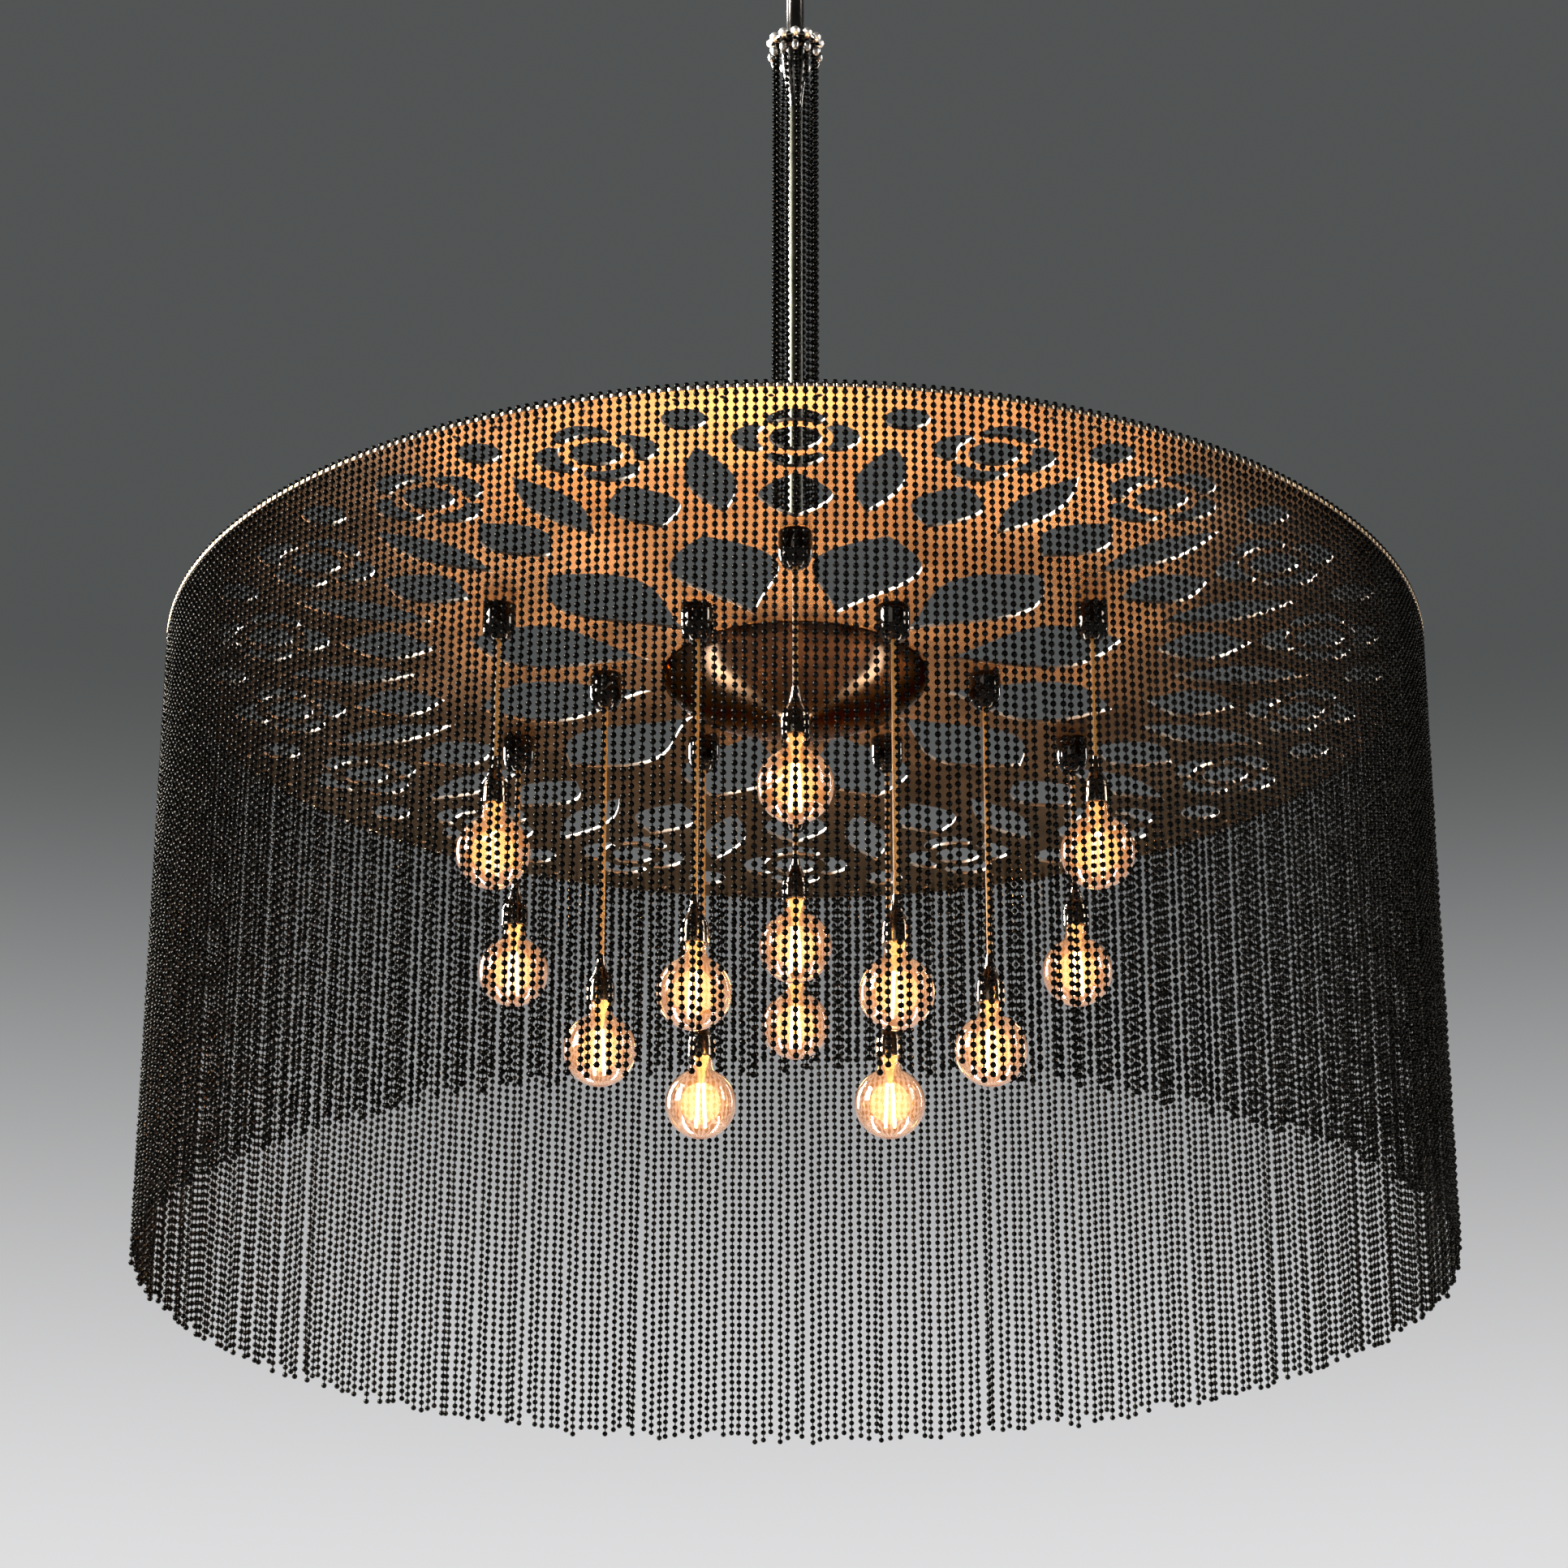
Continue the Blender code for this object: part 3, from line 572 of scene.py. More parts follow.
bulb_glass = lit_glass("bulb_glass", (1.0, 0.93, 0.84), (1.0, 0.93, 0.82), painted_globe_glow, 0.30)
hot_filament = glowing("hot_filament", (1.0, 0.58, 0.24), 32.0)


# Meshes


def dressed(data, *materials):
    """Gives a mesh or a curve its materials, in the order of its faces' material numbers."""
    for material in materials:
        data.materials.append(material)
    return data


def finished(mesh, material):
    """Gives a mesh its material, and shades it smooth with its real edges sharp."""
    dressed(mesh, material)
    mesh.shade_smooth()
    mesh.set_sharp_from_angle(angle=sharp_angle)
    return mesh


def rounded(points, radius=round_edge):
    """A half section whose corners, apart from its two ends, are small arcs."""
    points = [Vector(point) for point in points]
    line = [points[0]]
    for before, corner, after in zip(points, points[1:], points[2:]):
        back, on = before - corner, after - corner
        reach = min(radius, back.length * edge_reach_share, on.length * edge_reach_share)
        start, end = corner + back.normalized() * reach, corner + on.normalized() * reach
        for i in range(round_steps + 1):
            share = i / round_steps
            inner = start.lerp(corner, share)
            line.append(inner.lerp(corner.lerp(end, share), share))
    return line + [points[-1]]


def ring_section(inner, outer, start, end, edge=round_edge):
    """A ring's half section, from the height of one face to the other's, with rounded corners."""
    return rounded([(inner, start), (outer, start), (outer, end), (inner, end), (inner, start)], edge)


def flowing(points, steps=profile_steps):
    """A smooth line through points."""
    points = [Vector(point) for point in points]
    ends = [points[0] * 2 - points[1]] + points + [points[-1] * 2 - points[-2]]
    line = []
    for a, b, c, d in zip(ends, ends[1:], ends[2:], ends[3:]):
        for i in range(steps):
            t = i / steps
            bend = (2 * a - 5 * b + 4 * c - d) * t**2 + (3 * b - a - 3 * c + d) * t**3
            line.append((2 * b + (c - a) * t + bend) / 2)
    return line + [points[-1]]


def turned(name, section, material, sides=turned_sides):
    """A half section, as points (radius, height), turned round the Z axis."""
    work = bmesh.new()
    corners = [work.verts.new((point[0], 0.0, point[1])) for point in section]
    edges = [work.edges.new(pair) for pair in zip(corners, corners[1:])]
    bmesh.ops.spin(
        work,
        geom=corners + edges,
        cent=(0.0, 0.0, 0.0),
        axis=(0.0, 0.0, 1.0),
        angle=full_turn,
        steps=sides,
        use_merge=True,
    )
    bmesh.ops.remove_doubles(work, verts=work.verts, dist=weld_distance)
    bmesh.ops.recalc_face_normals(work, faces=work.faces)
    mesh = bpy.data.meshes.new(name)
    work.to_mesh(mesh)
    work.free()
    return finished(mesh, material)


def ball(sides, rings):
    """Points of a unit ball, with its top and bottom triangles and the quads between them."""
    points = [(0.0, 0.0, 1.0)]
    for ring in range(1, rings):
        down = half_turn * ring / rings
        for side in range(sides):
            around = full_turn * side / sides
            flat = math.sin(down)
            points.append((flat * math.cos(around), flat * math.sin(around), math.cos(down)))
    points.append((0.0, 0.0, -1.0))
    after = [(i + 1) % sides for i in range(sides)]
    last = 1 + (rings - 2) * sides
    tops = [(0, 1 + i, 1 + after[i]) for i in range(sides)]
    bottoms = [(len(points) - 1, last + after[i], last + i) for i in range(sides)]
    quads = []
    for ring in range(rings - 2):
        upper = 1 + ring * sides
        for i in range(sides):
            quads.append((upper + i, upper + sides + i, upper + sides + after[i], upper + after[i]))
    return np.array(points), np.array(tops + bottoms), np.array(quads)


def copied(faces, count, step):
    """The faces of one template for each of its copies."""
    return (faces[None] + np.arange(count)[:, None, None] * step).reshape(-1, faces.shape[1])


def fill_mesh(name, points, blocks):
    """A mesh from points and blocks of faces, where a block's faces have one size and one material."""
    mesh = bpy.data.meshes.new(name)
    mesh.vertices.add(len(points))
    mesh.vertices.foreach_set("co", points.astype(np.float32).ravel())
    corners = np.concatenate([block.ravel() for block, _ in blocks])
    sizes = np.concatenate([np.full(len(block), block.shape[1]) for block, _ in blocks])
    slots = np.concatenate([np.full(len(block), slot) for block, slot in blocks])
    starts = np.concatenate([[0], np.cumsum(sizes)[:-1]])
    mesh.loops.add(len(corners))
    mesh.loops.foreach_set("vertex_index", corners.astype(np.int32))
    mesh.polygons.add(len(sizes))
    mesh.polygons.foreach_set("loop_start", starts.astype(np.int32))
    mesh.update(calc_edges=True)
    mesh.validate()
    mesh.polygons.foreach_set("material_index", slots.astype(np.int32))
    mesh.shade_smooth()
    return mesh


def chain_mesh(name, chains, sides, rings):
    """Ball chains. Each chain is an array of its beads' centres, from the top down."""
    centres = np.concatenate(chains)
    points, caps, quads = ball(sides, rings)
    beads = (centres[:, None] + points[None] * bead_radius).reshape(-1, 3)
    around = np.arange(link_sides) * full_turn / link_sides
    ring = np.stack([np.cos(around), np.sin(around), np.zeros(link_sides)], axis=1) * link_radius
    links = (centres[:, None] + ring[None]).reshape(-1, 3)
    ends = np.cumsum([len(chain) for chain in chains]) - 1
    starts = np.setdiff1d(np.arange(len(centres)), ends) * link_sides + len(beads)
    after = [(i + 1) % link_sides for i in range(link_sides)]
    one_link = [(i, i + link_sides, after[i] + link_sides, after[i]) for i in range(link_sides)]
    link_faces = (starts[:, None, None] + np.array(one_link)[None]).reshape(-1, 4)
    count = len(centres)
    blocks = [(copied(faces, count, len(points)), 0) for faces in (caps, quads)]
    mesh = fill_mesh(name, np.concatenate([beads, links]), blocks + [(link_faces, 1)])
    return dressed(mesh, gunmetal, link_metal)


def flat_piece(name, outlines, low, high, bevel):
    """A flat piece with fine bevels, from its edge and its holes in the XY plane."""
    curve = bpy.data.curves.new(name + "_outline", "CURVE")
    curve.dimensions = "2D"
    curve.fill_mode = "BOTH"
    curve.extrude = (high - low) / 2 - bevel
    curve.bevel_depth = bevel
    curve.bevel_resolution = 1
    curve.offset = -bevel
    for outline in outlines:
        spline = curve.splines.new("POLY")
        spline.points.add(len(outline) - 1)
        flat = [(x, y, 0.0, 1.0) for x, y in outline]
        spline.points.foreach_set("co", np.array(flat).ravel())
        spline.use_cyclic_u = True
    helper = bpy.data.objects.new(name + "_outline", curve)
    collection.objects.link(helper)
    bpy.context.view_layer.update()
    depsgraph = bpy.context.evaluated_depsgraph_get()
    mesh = bpy.data.meshes.new_from_object(helper.evaluated_get(depsgraph))
    bpy.data.objects.remove(helper, do_unlink=True)
    mesh.name = name
    mesh.materials.clear()
    mesh.transform(Matrix.Translation((0.0, 0.0, (high + low) / 2)))
    return mesh


def wire(name, points, radius, roundness, kind, material):
    """A round wire along points, as a curve with closed ends."""
    curve = bpy.data.curves.new(name, "CURVE")
    curve.dimensions = "3D"
    curve.bevel_depth = radius
    curve.bevel_resolution = roundness
    curve.use_fill_caps = True
    spline = curve.splines.new(kind)
    spline.points.add(len(points) - 1)
    for place, point in zip(spline.points, points):
        place.co = (*point, 1.0)
    spline.use_endpoint_u = kind == "NURBS"
    return dressed(curve, material)


# Outlines of the plate


def turned_points(points, angle):
    """Points (outwards, across) of a shape at the front, turned to an angle round the plate."""
    cos, sin = math.cos(angle), math.sin(angle)
    return [(out * sin + across * cos, -out * cos + across * sin) for out, across in points]


def circle_outline(radius, ring=0.0, angle=0.0, count=hole_steps):
    """A round outline whose centre lies on a ring of the plate."""
    steps = ring_angles(count)
    points = [(ring + radius * math.cos(step), radius * math.sin(step)) for step in steps]
    return turned_points(points, angle)


def leaf_outline(inner, length, width, angle, widest_share=0.5):
    """A radial leaf with a point at each end, widest at a share of its length."""
    power = math.log(0.5) / math.log(widest_share)
    shares = [i / leaf_steps for i in range(1, leaf_steps)]
    side = [(inner + length * s, math.sin(half_turn * s**power) * width / 2) for s in shares]
    across = [(out, -half) for out, half in reversed(side)]
    return turned_points([(inner, 0.0)] + side + [(inner + length, 0.0)] + across, angle)


def roundel_slots(ring, lobe_offset, lobe_radius, angle):
    """Four round lobes cut round a ring that bridges between them carry."""
    lobe_turn = full_turn / lobe_count
    half_slot = lobe_turn / 2 - roundel_bridge
    slots = []
    for lobe in range(lobe_count):
        outer, inner = [], []
        for step in range(lobe_steps + 1):
            off = half_slot * (2 * step / lobe_steps - 1)
            around = lobe_turn * lobe + off
            reach = lobe_offset * math.cos(off)
            reach += math.sqrt(lobe_radius**2 - (lobe_offset * math.sin(off)) ** 2)
            outer.append((ring + reach * math.cos(around), reach * math.sin(around)))
            near = roundel_ring_outer
            inner.append((ring + near * math.cos(around), near * math.sin(around)))
        slots.append(turned_points(outer + inner[::-1], angle))
    return slots


def notched_rim():
    """The plate's edge, with a notch for each chain."""
    edge = []
    half_notch = notch_width / 2 / plate_radius
    floor = plate_radius - notch_depth
    count = sector_count * chains_per_sector
    for angle in ring_angles(count):
        edge.append(on_circle(plate_radius, angle - half_notch))
        edge.append(on_circle(floor, angle - half_notch))
        edge.append(on_circle(floor, angle + half_notch))
        edge.append(on_circle(plate_radius, angle + half_notch))
        edge.append(on_circle(plate_radius, angle + full_turn / count / 2))
    return edge


def plate_openings():
    """Every opening of the plate, from its centre outwards."""
    band_inner = outer_ring_radius + pendant_margin
    band = band_end - band_inner
    petal_inner = dome_radius + petal_margin
    petal_length = band_inner - petal_tip_margin - petal_inner
    petal_width = petal_length * petal_width_share
    leaf_length = band * leaf_length_share
    leaf_width = full_turn * (band_inner + leaf_length / 2) / rosette_folds * leaf_width_share
    dart_inner = band_inner + band * dart_inner_share
    dart_length = band * dart_length_share
    dart_width = full_turn * (dart_inner + dart_length / 2) / rosette_folds * dart_width_share
    holes = []
    for angle in ring_angles(pendants_per_ring, inner_ring_offset):
        holes.append(circle_outline(stud_hole_radius, inner_ring_radius, angle))
    for angle in ring_angles(pendants_per_ring):
        holes.append(circle_outline(stud_hole_radius, outer_ring_radius, angle))
    for angle in ring_angles(petal_count, 0.5):
        holes.append(leaf_outline(petal_inner, petal_length, petal_width, angle, petal_widest_share))
    for angle in ring_angles(rosette_folds):
        holes.append(leaf_outline(band_inner, leaf_length, leaf_width, angle))
        roundel = band_inner + band * roundel_place_share
        holes += roundel_slots(roundel, band * lobe_offset_share, band * lobe_radius_share, angle)
        holes.append(circle_outline(roundel_ring_inner, roundel, angle))
    for angle in ring_angles(rosette_folds, 0.5):
        holes.append(leaf_outline(dart_inner, dart_length, dart_width, angle))
        eyelet = band_inner + band * eyelet_place_share
        holes.append(circle_outline(band * eyelet_radius_share, eyelet, angle))
    for angle in ring_angles(pearl_count, 0.5):
        holes.append(circle_outline(pearl_radius, pearl_ring, angle, pearl_steps))
    return holes


# Pieces


def make_plate():
    """The pierced mirror plate with its notched rim, its top face given painted shade in place of the
    windows' glare.
    """
    outlines = [notched_rim()] + plate_openings()
    mesh = flat_piece("rosette_plate", outlines, plate_bottom, plate_top, plate_bevel)
    dressed(mesh, mirror_plate, cut_edge, shaded_plate_top)
    for face in mesh.polygons:
        inside = face.center.xy.length < plate_radius - rim_margin
        # Faces that look up take the painted shade of the top; the walls of the openings take the cut
        # edge's metal
        if face.normal.z > wall_slope:
            face.material_index = 2
        elif inside and face.normal.z > -wall_slope:
            face.material_index = 1
    piece("plate_pierced", mesh, "drum", ["rosette_plate"])


def hanging_chain(chance, angle):
    """The bead centres of one chain of the curtain, with its own small differences."""
    count = curtain_beads + chance.choice(extra_beads)
    pitch = chain_pitch * (1 + chance.normal(0.0, spacing_spread_share))
    start = plate_bottom - hang_gap + chance.normal(0.0, start_spread)
    steps = np.arange(count)
    down = steps / count
    sway = chance.normal(0.0, sway_spread, 2)
    phase = chance.uniform(0.0, full_turn, 2)
    waves = np.sin(steps[:, None] * chain_pitch / ripple_length * full_turn + phase) * ripple_height
    offsets = sway * down[:, None] ** sway_power + waves * np.minimum(down * ripple_rise, 1.0)[:, None]
    out, across = curtain_radius + offsets[:, 0], offsets[:, 1]
    sin, cos = math.sin(angle), math.cos(angle)
    beads = [out * sin + across * cos, -out * cos + across * sin, start - steps * pitch]
    hanging = np.stack(beads, axis=1)
    x, y = on_circle(curtain_radius, angle)
    return np.concatenate([[[x, y, plate_top + perch_height]], hanging])


def make_curtain():
    """Ten sectors of the curtain, whose chains all differ a little."""
    chance = np.random.default_rng(curtain_seed)
    pitch = full_turn / (sector_count * chains_per_sector)
    for sector, middle in enumerate(ring_angles(sector_count)):
        offsets = [pitch * (i - (chains_per_sector - 1) / 2) for i in range(chains_per_sector)]
        chains = [hanging_chain(chance, middle + offset) for offset in offsets]
        mesh = chain_mesh(f"curtain_{sector + 1}", chains, bead_sides, bead_rings)
        node = f"curtain_sector_{sector + 1}"
        piece(f"curtain_chains_{sector + 1}", mesh, "drum", [node])


def make_column():
    """The chains round the rod."""
    chance = np.random.default_rng(column_seed)
    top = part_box("chain_collar")[1].z - hook_ball_radius - chain_pitch / 2
    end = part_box("hub_flange")[0].z + column_end_height
    steps = np.arange(int((top - end) / chain_pitch) + 1)
    twist = np.minimum(steps * chain_pitch / twist_drop, 1.0) * column_twist
    chains = []
    for angle in ring_angles(column_strands):
        wave = np.sin(steps * column_wave_step + chance.uniform(0.0, full_turn)) * column_wave_height
        sin, cos = np.sin(angle + twist), np.cos(angle + twist)
        x = column_radius * sin + wave * cos
        y = wave * sin - column_radius * cos
        chains.append(np.stack([x, y, top - steps * chain_pitch], axis=1))
    mesh = chain_mesh("column", chains, column_bead_sides, column_bead_rings)
    piece("column_chains_beaded", mesh, "drum", ["column_chains"])


def make_hooked_balls():
    """The pale balls hooked over the notched collar, and a grey end cap under each."""
    collar_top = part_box("chain_collar")[1].z
    points, fans, quads = ball(hook_ball_sides, hook_ball_rings)
    places = [on_circle(hook_ball_ring, angle) for angle in ring_angles(column_strands)]
    cap_size = (end_cap_radius, end_cap_radius, end_cap_height)
    balls = [points * hook_ball_radius + (x, y, collar_top) for x, y in places]
    balls += [points * cap_size + (x, y, collar_top - end_cap_drop) for x, y in places]
    blocks = []
    for first, number in ((0, 0), (column_strands * len(points), 1)):
        for faces in (fans, quads):
            blocks.append((copied(faces + first, column_strands, len(points)), number))
    mesh = fill_mesh("hooked_balls", np.concatenate(balls), blocks)
    dressed(mesh, pale_cap, grey_cap)
    piece("column_hooked_balls", mesh, "drum", [])


def make_collar():
    """The notched disc that carries the column's chains."""
    low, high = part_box("chain_collar")
    half = collar_notch_width / 2
    rim = collar_radius * math.cos(math.asin(half / collar_radius))
    spacing = full_turn / column_strands
    edge = []
    for angle in ring_angles(column_strands):
        notch = [(rim, -half), (collar_notch_radius, -half), (collar_notch_radius, half), (rim, half)]
        edge += turned_points(notch, angle)
        edge += [on_circle(collar_radius, angle + spacing * share) for share in collar_edge_shares]
    mesh = flat_piece("chain_collar", [edge, circle_outline(collar_bore)], low.z, high.z, collar_bevel)
    piece("chain_collar_disc", dressed(mesh, dark_bronze), "drum", ["chain_collar"])


def make_rod():
    """The black cone under the collar and the thin olive rod below it."""
    low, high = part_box("hanger_rod")
    cone_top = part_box("chain_collar")[0].z - touch_gap
    section = [(rod_bore, high.z), (spigot_radius, high.z), (spigot_radius, cone_top)]
    section += flowing(hung(cone_profile, cone_top))
    piece("hanger_cone", turned("hanger_cone", section, black_cone), "drum", [])
    seam = cone_top - cone_seam_drop
    rod = rounded([(rod_bore, low.z), (rod_radius, low.z), (rod_radius, seam), (rod_bore, seam)])
    piece("hanger_rod_tube", turned("hanger_rod", rod, olive_rod), "drum", ["hanger_rod"])


def make_stem():
    """The polished stem's tube with its foot disc and its lower ferrule."""
    low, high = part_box("suspension_stem")
    foot_top = high.z - fork_height
    foot_base = foot_top - stem_foot_height
    section = rounded(
        [
            (stem_foot_bore, foot_top),
            (stem_foot_radius, foot_top),
            (stem_foot_radius, foot_base),
            (stem_radius, foot_base),
            (stem_radius, low.z + ferrule_height),
            (ferrule_radius, low.z + ferrule_height - ferrule_edge),
            (ferrule_radius, low.z + ferrule_edge),
            (ferrule_tip_radius, low.z),
            (stem_bore, low.z),
            (stem_bore, foot_base),
            (stem_foot_bore, foot_base),
            (stem_foot_bore, foot_top),
        ]
    )
    piece("stem_tube", turned("stem_tube", section, dark_bronze), "stem", [])


def make_canopy():
    """The spun ceiling canopy and its locking collar."""
    low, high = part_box("ceiling_canopy")
    floor = low.z + canopy_wall
    section = [(canopy_radius - canopy_wall, high.z), (canopy_radius, high.z)]
    section += hung(canopy_lip, high.z)
    section += flowing(hung(canopy_profile, high.z) + [(canopy_floor_radius, low.z)])
    section += [(canopy_hole, low.z), (canopy_hole, floor), (canopy_floor_radius, floor)]
    section += hung(canopy_inner_profile, high.z)
    mesh = turned("ceiling_canopy", section, dark_bronze, canopy_sides)
    piece("canopy_spun", mesh, "canopy", ["ceiling_canopy"])
    low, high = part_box("canopy_collar")
    section = ring_section(canopy_collar_bore, canopy_collar_radius, high.z, low.z)
    mesh = turned("canopy_collar", section, dark_bronze)
    piece("canopy_collar_ring", mesh, "canopy", ["canopy_collar"])


def make_hub():
    """The flange on the plate with its boss, and the stud through to the dome."""
    low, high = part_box("hub_flange")
    base = plate_top + touch_gap
    section = rounded(
        [
            (0.0, low.z),
            (hub_stud_radius, low.z),
            (hub_stud_radius, base),
            (hub_radius, base),
            (hub_radius, base + hub_rim_height),
            (hub_shoulder_radius, base + hub_shoulder_height),
            (hub_boss_radius, base + hub_boss_height),
            (hub_boss_radius, high.z),
            (hub_bore, high.z),
            (hub_bore, high.z - hub_bore_depth),
            (0.0, high.z - hub_bore_depth),
        ]
    )
    piece("hub_turned", turned("hub_flange", section, dark_bronze), "drum", ["hub_flange"])


def lead_line(radius, angle):
    """The points of a lead that wanders a little from the terminals to a cord grip."""
    reach = radius - lead_end_margin - lead_start
    points = []
    for step in range(lead_points):
        share = step / (lead_points - 1)
        wander = lead_wander * math.sin(share * full_turn) * (1 - share)
        x, y = on_circle(lead_start + reach * share, angle + wander)
        points.append((x, y, plate_top + lead_height))
    return points


def make_wiring():
    """The sleeved terminal ring round the hub, with a lead along the plate to each cord grip."""
    low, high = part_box("wiring_harness")
    section = ring_section(terminal_inner_radius, terminal_outer_radius, low.z, high.z, terminal_edge)
    mesh = turned("terminal_ring", section, black_textile)
    piece("terminal_ring", mesh, "drum", ["wiring_harness"])
    for ring, radius, offset in pendant_rings:
        for i, angle in enumerate(ring_angles(pendants_per_ring, offset)):
            name = f"lead_{ring}_{i + 1}"
            lead = wire(name, lead_line(radius, angle), lead_radius, lead_roundness, "NURBS", black_textile)
            piece(name, lead, "drum", [])


def nut_mesh():
    """A hexagon nut with bevelled edges, about its middle."""
    nut = bpy.data.meshes.new("grip_nut")
    work = bmesh.new()
    bmesh.ops.create_cone(
        work, cap_ends=True, segments=nut_sides, radius1=nut_radius, radius2=nut_radius, depth=nut_height
    )
    bmesh.ops.bevel(
        work, geom=work.edges[:], offset=nut_bevel, segments=2, affect="EDGES", profile=nut_bevel_profile
    )
    work.to_mesh(nut)
    work.free()
    return finished(nut, zinc_steel)


def make_grips(pendants):
    """The cord grips: bullets with a fine seam, each with its stud and its nut above the plate."""
    section = grip_stud + grip_cup + flowing(grip_nose, small_profile_steps) + grip_mouth
    mesh = turned("cord_grip", section, black_nickel)
    nut = nut_mesh()
    seat = plate_bottom - touch_gap
    nut_height_on_plate = plate_top + nut_middle_height
    for suffix, x, y, _, _ in pendants:
        if suffix == "middle":
            continue
        piece("grip_" + suffix, mesh, "drum", ["cord_grip_" + suffix], (x, y, seat))
        piece("nut_" + suffix, nut, "drum", [], (x, y, nut_height_on_plate))


def make_dome():
    """The spun dome under the plate's middle, with its neck and the flex's exit."""
    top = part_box("middle_dome")[1].z
    section = dome_rim + flowing(dome_bowl, dome_profile_steps) + dome_neck + dome_mouth
    mesh = turned("middle_dome", section, dome_nickel, dome_sides)
    mesh.transform(Matrix.Translation((0.0, 0.0, top)))
    piece("dome_spun", mesh, "drum", ["middle_dome"])


def holder_mesh():
    """A lampholder: a short sleeve with a drawn-in tip like a candle flame's."""
    section = holder_sleeve + flowing(holder_flame, small_profile_steps) + [holder_tip]
    return turned("lampholder", section, holder_metal)


def glass_mesh():
    """The globe and neck of a bulb, as a thin shell about the globe's centre."""
    shoulder = math.asin(bulb_neck_radius / bulb_radius) * bulb_shoulder_share
    globe = []
    for i in range(bulb_steps + 1):
        angle = half_turn - (half_turn - shoulder) * i / bulb_steps
        globe.append((bulb_radius * math.sin(angle), bulb_radius * math.cos(angle)))
    outer = globe[:-1] + flowing([globe[-1]] + bulb_neck, small_profile_steps)
    inner = []
    for radius, height in reversed(outer):
        lift = glass_wall if height < glass_floor_height else 0.0
        inner.append((max(radius - glass_wall, 0.0), height + lift))
    inner[-1] = (0.0, glass_wall - bulb_radius)
    return turned("bulb_glass", outer + inner, bulb_glass, bulb_sides)


def insides_mesh():
    """The screw cap, the glass mount's wires and the filaments of a bulb."""
    section = list(cap_tip)
    for turn in range(thread_turns):
        height = thread_top - turn * thread_pitch
        section.append((thread_crest_radius, height + thread_crest_rise))
        section.append((thread_root_radius, height - thread_root_drop))
    mesh = turned("bulb_cap", section + cap_foot + glass_mount, cap_brass, cap_sides)
    work = bmesh.new()
    work.from_mesh(mesh)
    for angle in ring_angles(filament_count, 0.5):
        top = Vector((*on_circle(filament_top_ring, angle), filament_top))
        bottom = Vector((*on_circle(filament_bottom_ring, angle), filament_bottom))
        along = bottom - top
        turn = along.to_track_quat("Z", "Y").to_matrix().to_4x4()
        new = bmesh.ops.create_cone(
            work,
            cap_ends=True,
            segments=filament_sides,
            radius1=filament_radius,
            radius2=filament_radius,
            depth=along.length,
            matrix=Matrix.Translation((top + bottom) / 2) @ turn,
        )
        for corner in new["verts"]:
            for face in corner.link_faces:
                face.material_index = 1
    work.to_mesh(mesh)
    work.free()
    return dressed(mesh, hot_filament)


def make_pendants(pendants):
    """Every flex, lampholder and bulb."""
    holder = holder_mesh()
    glass = glass_mesh()
    insides = insides_mesh()
    for suffix, x, y, pivot, bulb in pendants:
        foot = bulb + holder_rise
        length = pivot - (foot + holder_length)
        body, globe = "pendant_" + suffix, "globe_" + suffix
        node = "lampholder_" + suffix
        lampholder = piece("holder_" + suffix, holder, body, [node], (x, y, foot))
        points = [(0.0, 0.0, -length * i / (flex_points - 1)) for i in range(flex_points)]
        cord = wire("flex_" + suffix, points, flex_radius, flex_roundness, "POLY", gold_textile)
        flex = piece("flex_" + suffix, cord, body, [], (x, y, pivot))
        piece("glass_" + suffix, glass, globe, ["bulb_" + suffix], (x, y, bulb))
        piece("filaments_" + suffix, insides, globe, [], (x, y, bulb))


def pendant_places():
    """Each pendant's name, place, pivot height and globe height."""
    spots = [("middle", 0.0, 0.0)]
    for ring, radius, offset in pendant_rings:
        for i, angle in enumerate(ring_angles(pendants_per_ring, offset)):
            spots.append((f"{ring}_{i + 1}", *on_circle(radius, angle)))
    pendants = []
    for name, x, y in spots:
        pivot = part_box("lampholder_" + name)[1].z
        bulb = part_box("bulb_" + name)[0].z + bulb_radius
        pendants.append((name, x, y, pivot, bulb))
    return pendants


def dress_frame():
    """Gives the CAD nodes that stay their finished materials."""
    finishes = {"ceiling_bracket": zinc_steel, "swivel_block": zinc_steel, "suspension_stem": dark_bronze}
    for name, material in finishes.items():
        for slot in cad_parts[name].material_slots:
            slot.material = material


# Studio


def make_camera():
    """The photo's camera: below the drum's level and looking up at it."""
    data = bpy.data.cameras.new("camera")
    data.sensor_width = sensor_width
    data.lens = focal_pixels / photo_width * sensor_width
    data.shift_x = -axis_offset_pixels / photo_width
    camera = bpy.data.objects.new("camera", data)
    collection.objects.link(camera)
    camera.location = (0.0, -camera_distance, camera_height)
    camera.rotation_euler = (quarter_turn + camera_pitch, 0.0, 0.0)
    bpy.context.scene.camera = camera


def new_lamp(name, kind, place, power, colour):
    """A lamp that isn't seen through glass."""
    data = bpy.data.lights.new(name, kind)
    data.energy = power
    data.color = colour
    lamp = bpy.data.objects.new(name, data)
    collection.objects.link(lamp)
    lamp.location = place
    lamp.visible_transmission = False
    return lamp


def window_light(name, place, size, power, colour, lights_floor=False):
    """A soft window that faces the drum. It shows in gloss alone, unless it lights the floor too."""
    lamp = new_lamp(name, "AREA", place, power, colour)
    lamp.data.shape = "RECTANGLE"
    lamp.data.size, lamp.data.size_y = size
    facing = Vector((0.0, 0.0, window_aim_height)) - Vector(place)
    lamp.rotation_euler = facing.to_track_quat("-Z", "Y").to_euler()
    lamp.visible_diffuse = lights_floor


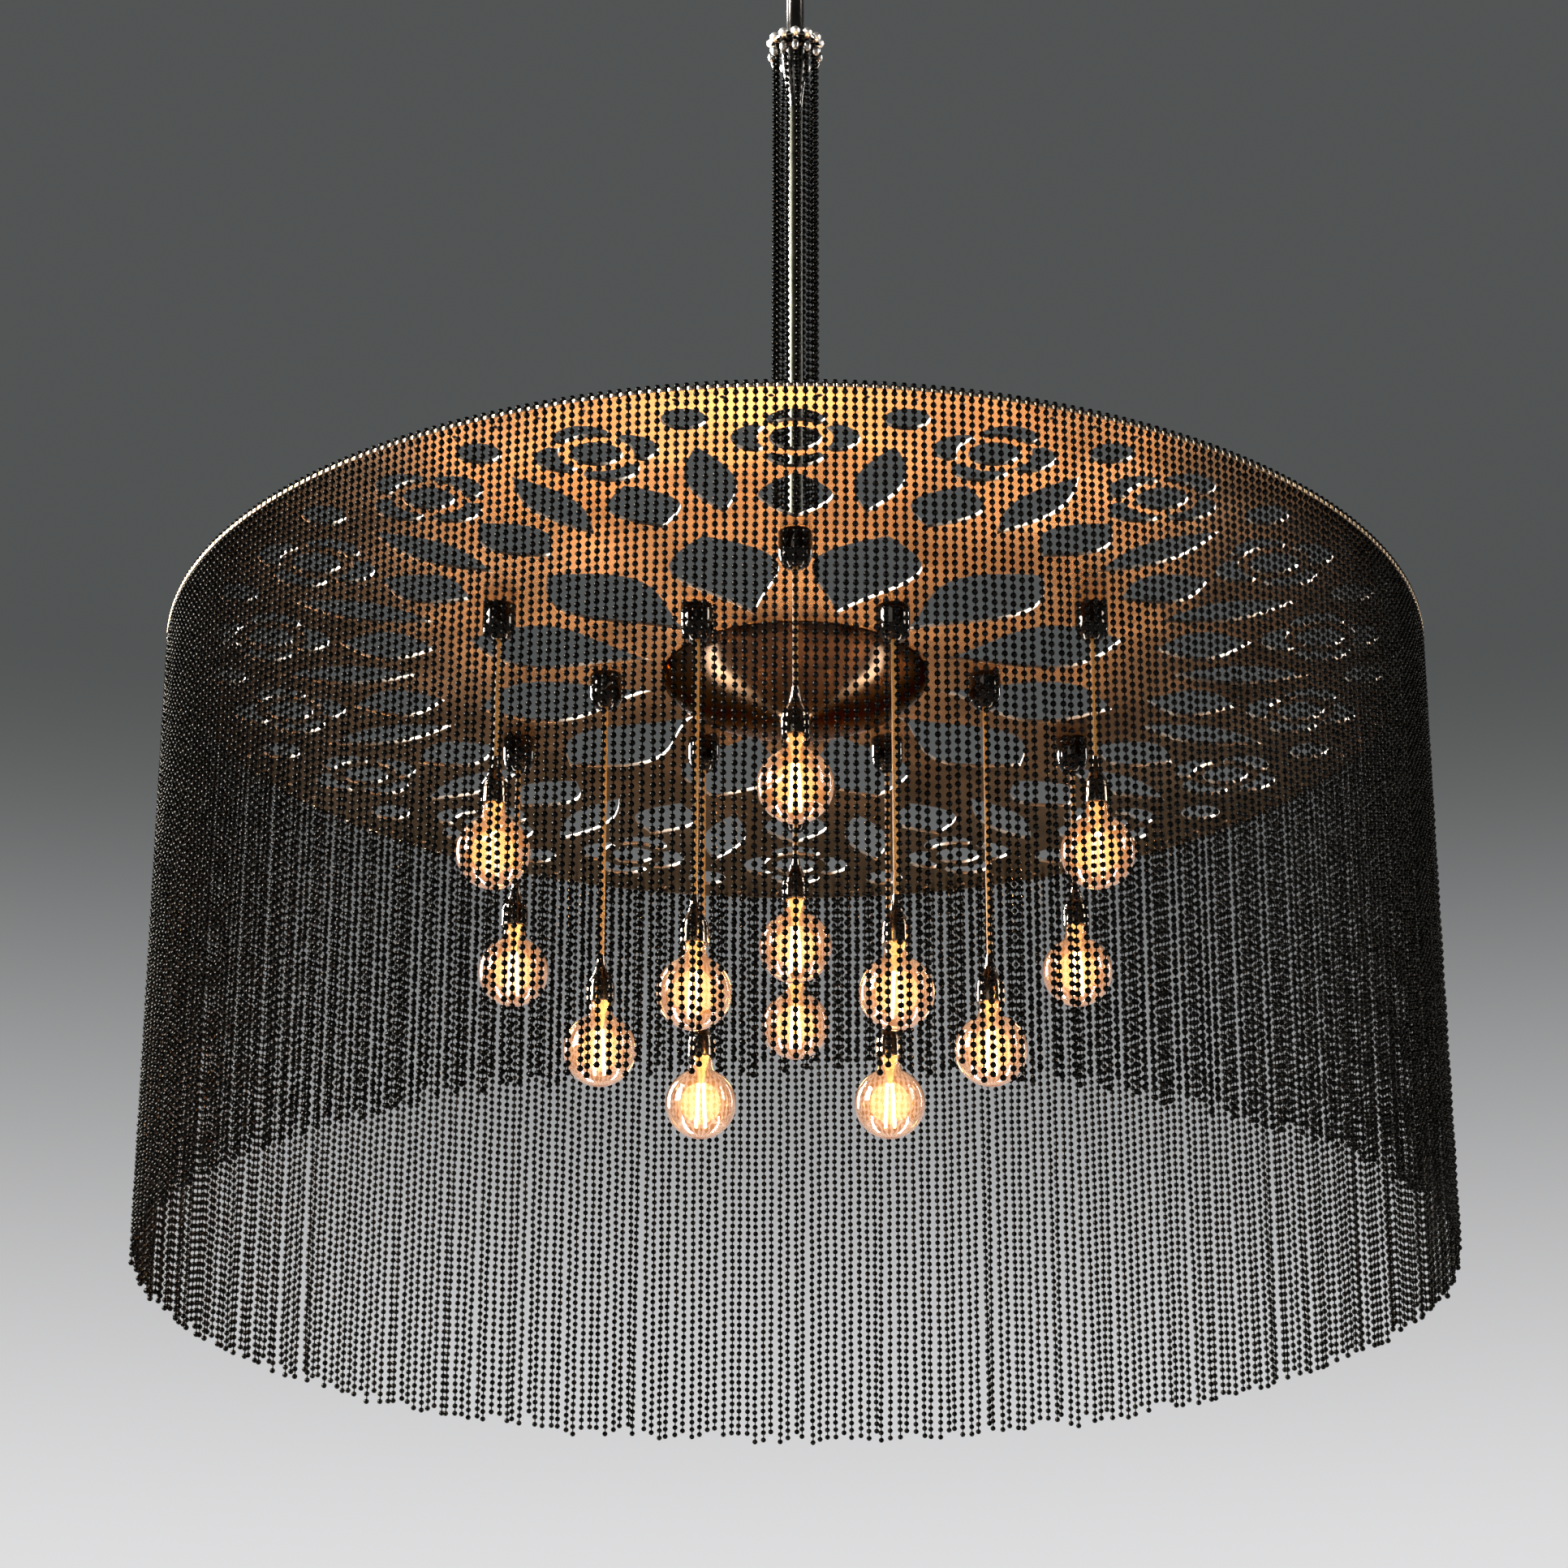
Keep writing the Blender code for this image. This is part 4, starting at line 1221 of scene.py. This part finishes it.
def make_lights(pendants):
    """The windows, and a warm lamp in each globe that shows in gloss alone."""
    for window in gloss_windows:
        window_light(*window)
    window_light(*front_window, lights_floor=True)
    for suffix, x, y, _, bulb in pendants:
        lamp = new_lamp("glow_" + suffix, "POINT", (x, y, bulb), globe_light_power, globe_light_colour)
        lamp.data.shadow_soft_size = globe_light_radius
        lamp.data.use_shadow = False
        lamp.visible_camera = False
        lamp.visible_diffuse = False


def make_floor():
    """A plain pale floor, which isn't seen from below."""
    mesh = bpy.data.meshes.new("floor")
    work = bmesh.new()
    bmesh.ops.create_grid(work, x_segments=1, y_segments=1, size=floor_reach)
    work.to_mesh(mesh)
    work.free()
    material, nodes, links, shader = new_material("pale_floor")
    shader.inputs["Base Color"].default_value = (*floor_colour, 1.0)
    shader.inputs["Roughness"].default_value = floor_roughness
    shader.inputs["Specular IOR Level"].default_value = 0.0
    clear = nodes.new("ShaderNodeBsdfTransparent")
    mix = nodes.new("ShaderNodeMixShader")
    links.new(nodes.new("ShaderNodeNewGeometry").outputs["Backfacing"], mix.inputs["Fac"])
    links.new(shader.outputs["BSDF"], mix.inputs[1])
    links.new(clear.outputs["BSDF"], mix.inputs[2])
    links.new(mix.outputs["Shader"], nodes["Material Output"].inputs["Surface"])
    floor = bpy.data.objects.new("floor", dressed(mesh, material))
    collection.objects.link(floor)
    floor.location = (0.0, 0.0, floor_height)


def make_world():
    """A plain backdrop, paler towards the floor, and an even light on what isn't glossy."""
    world = bpy.data.worlds.new("studio")
    bpy.context.scene.world = world
    world.use_nodes = True
    nodes, links = world.node_tree.nodes, world.node_tree.links
    plain = nodes["Background"]
    plain.inputs["Color"].default_value = (1.0, 1.0, 1.0, 1.0)
    plain.inputs["Strength"].default_value = even_light
    split = nodes.new("ShaderNodeSeparateXYZ")
    links.new(nodes.new("ShaderNodeTexCoord").outputs["Generated"], split.inputs["Vector"])
    height = spread(nodes, links, split.outputs["Z"], backdrop_band)
    seen = nodes.new("ShaderNodeBackground")
    seen.inputs["Strength"].default_value = 1.0
    stops = [(0.0, pale_backdrop), (1.0, dark_backdrop)]
    links.new(ramp(nodes, links, height, stops, "EASE"), seen.inputs["Color"])
    rays = nodes.new("ShaderNodeLightPath").outputs
    looks = calculated(nodes, links, "MAXIMUM", rays["Is Camera Ray"], rays["Is Glossy Ray"])
    looks = calculated(nodes, links, "MAXIMUM", looks, rays["Is Transmission Ray"])
    mix = nodes.new("ShaderNodeMixShader")
    links.new(looks, mix.inputs["Fac"])
    links.new(plain.outputs["Background"], mix.inputs[1])
    links.new(seen.outputs["Background"], mix.inputs[2])
    links.new(mix.outputs["Shader"], nodes["World Output"].inputs["Surface"])


def make_chandelier():
    """Every piece, then the studio round it."""
    pendants = pendant_places()
    make_camera()
    make_pendants(pendants)
    make_plate()
    make_curtain()
    make_column()
    make_hooked_balls()
    make_collar()
    make_rod()
    make_stem()
    make_canopy()
    make_hub()
    make_wiring()
    make_grips(pendants)
    make_dome()
    dress_frame()
    make_lights(pendants)
    make_floor()
    make_world()
    bpy.context.scene.view_settings.view_transform = "Standard"


make_chandelier()
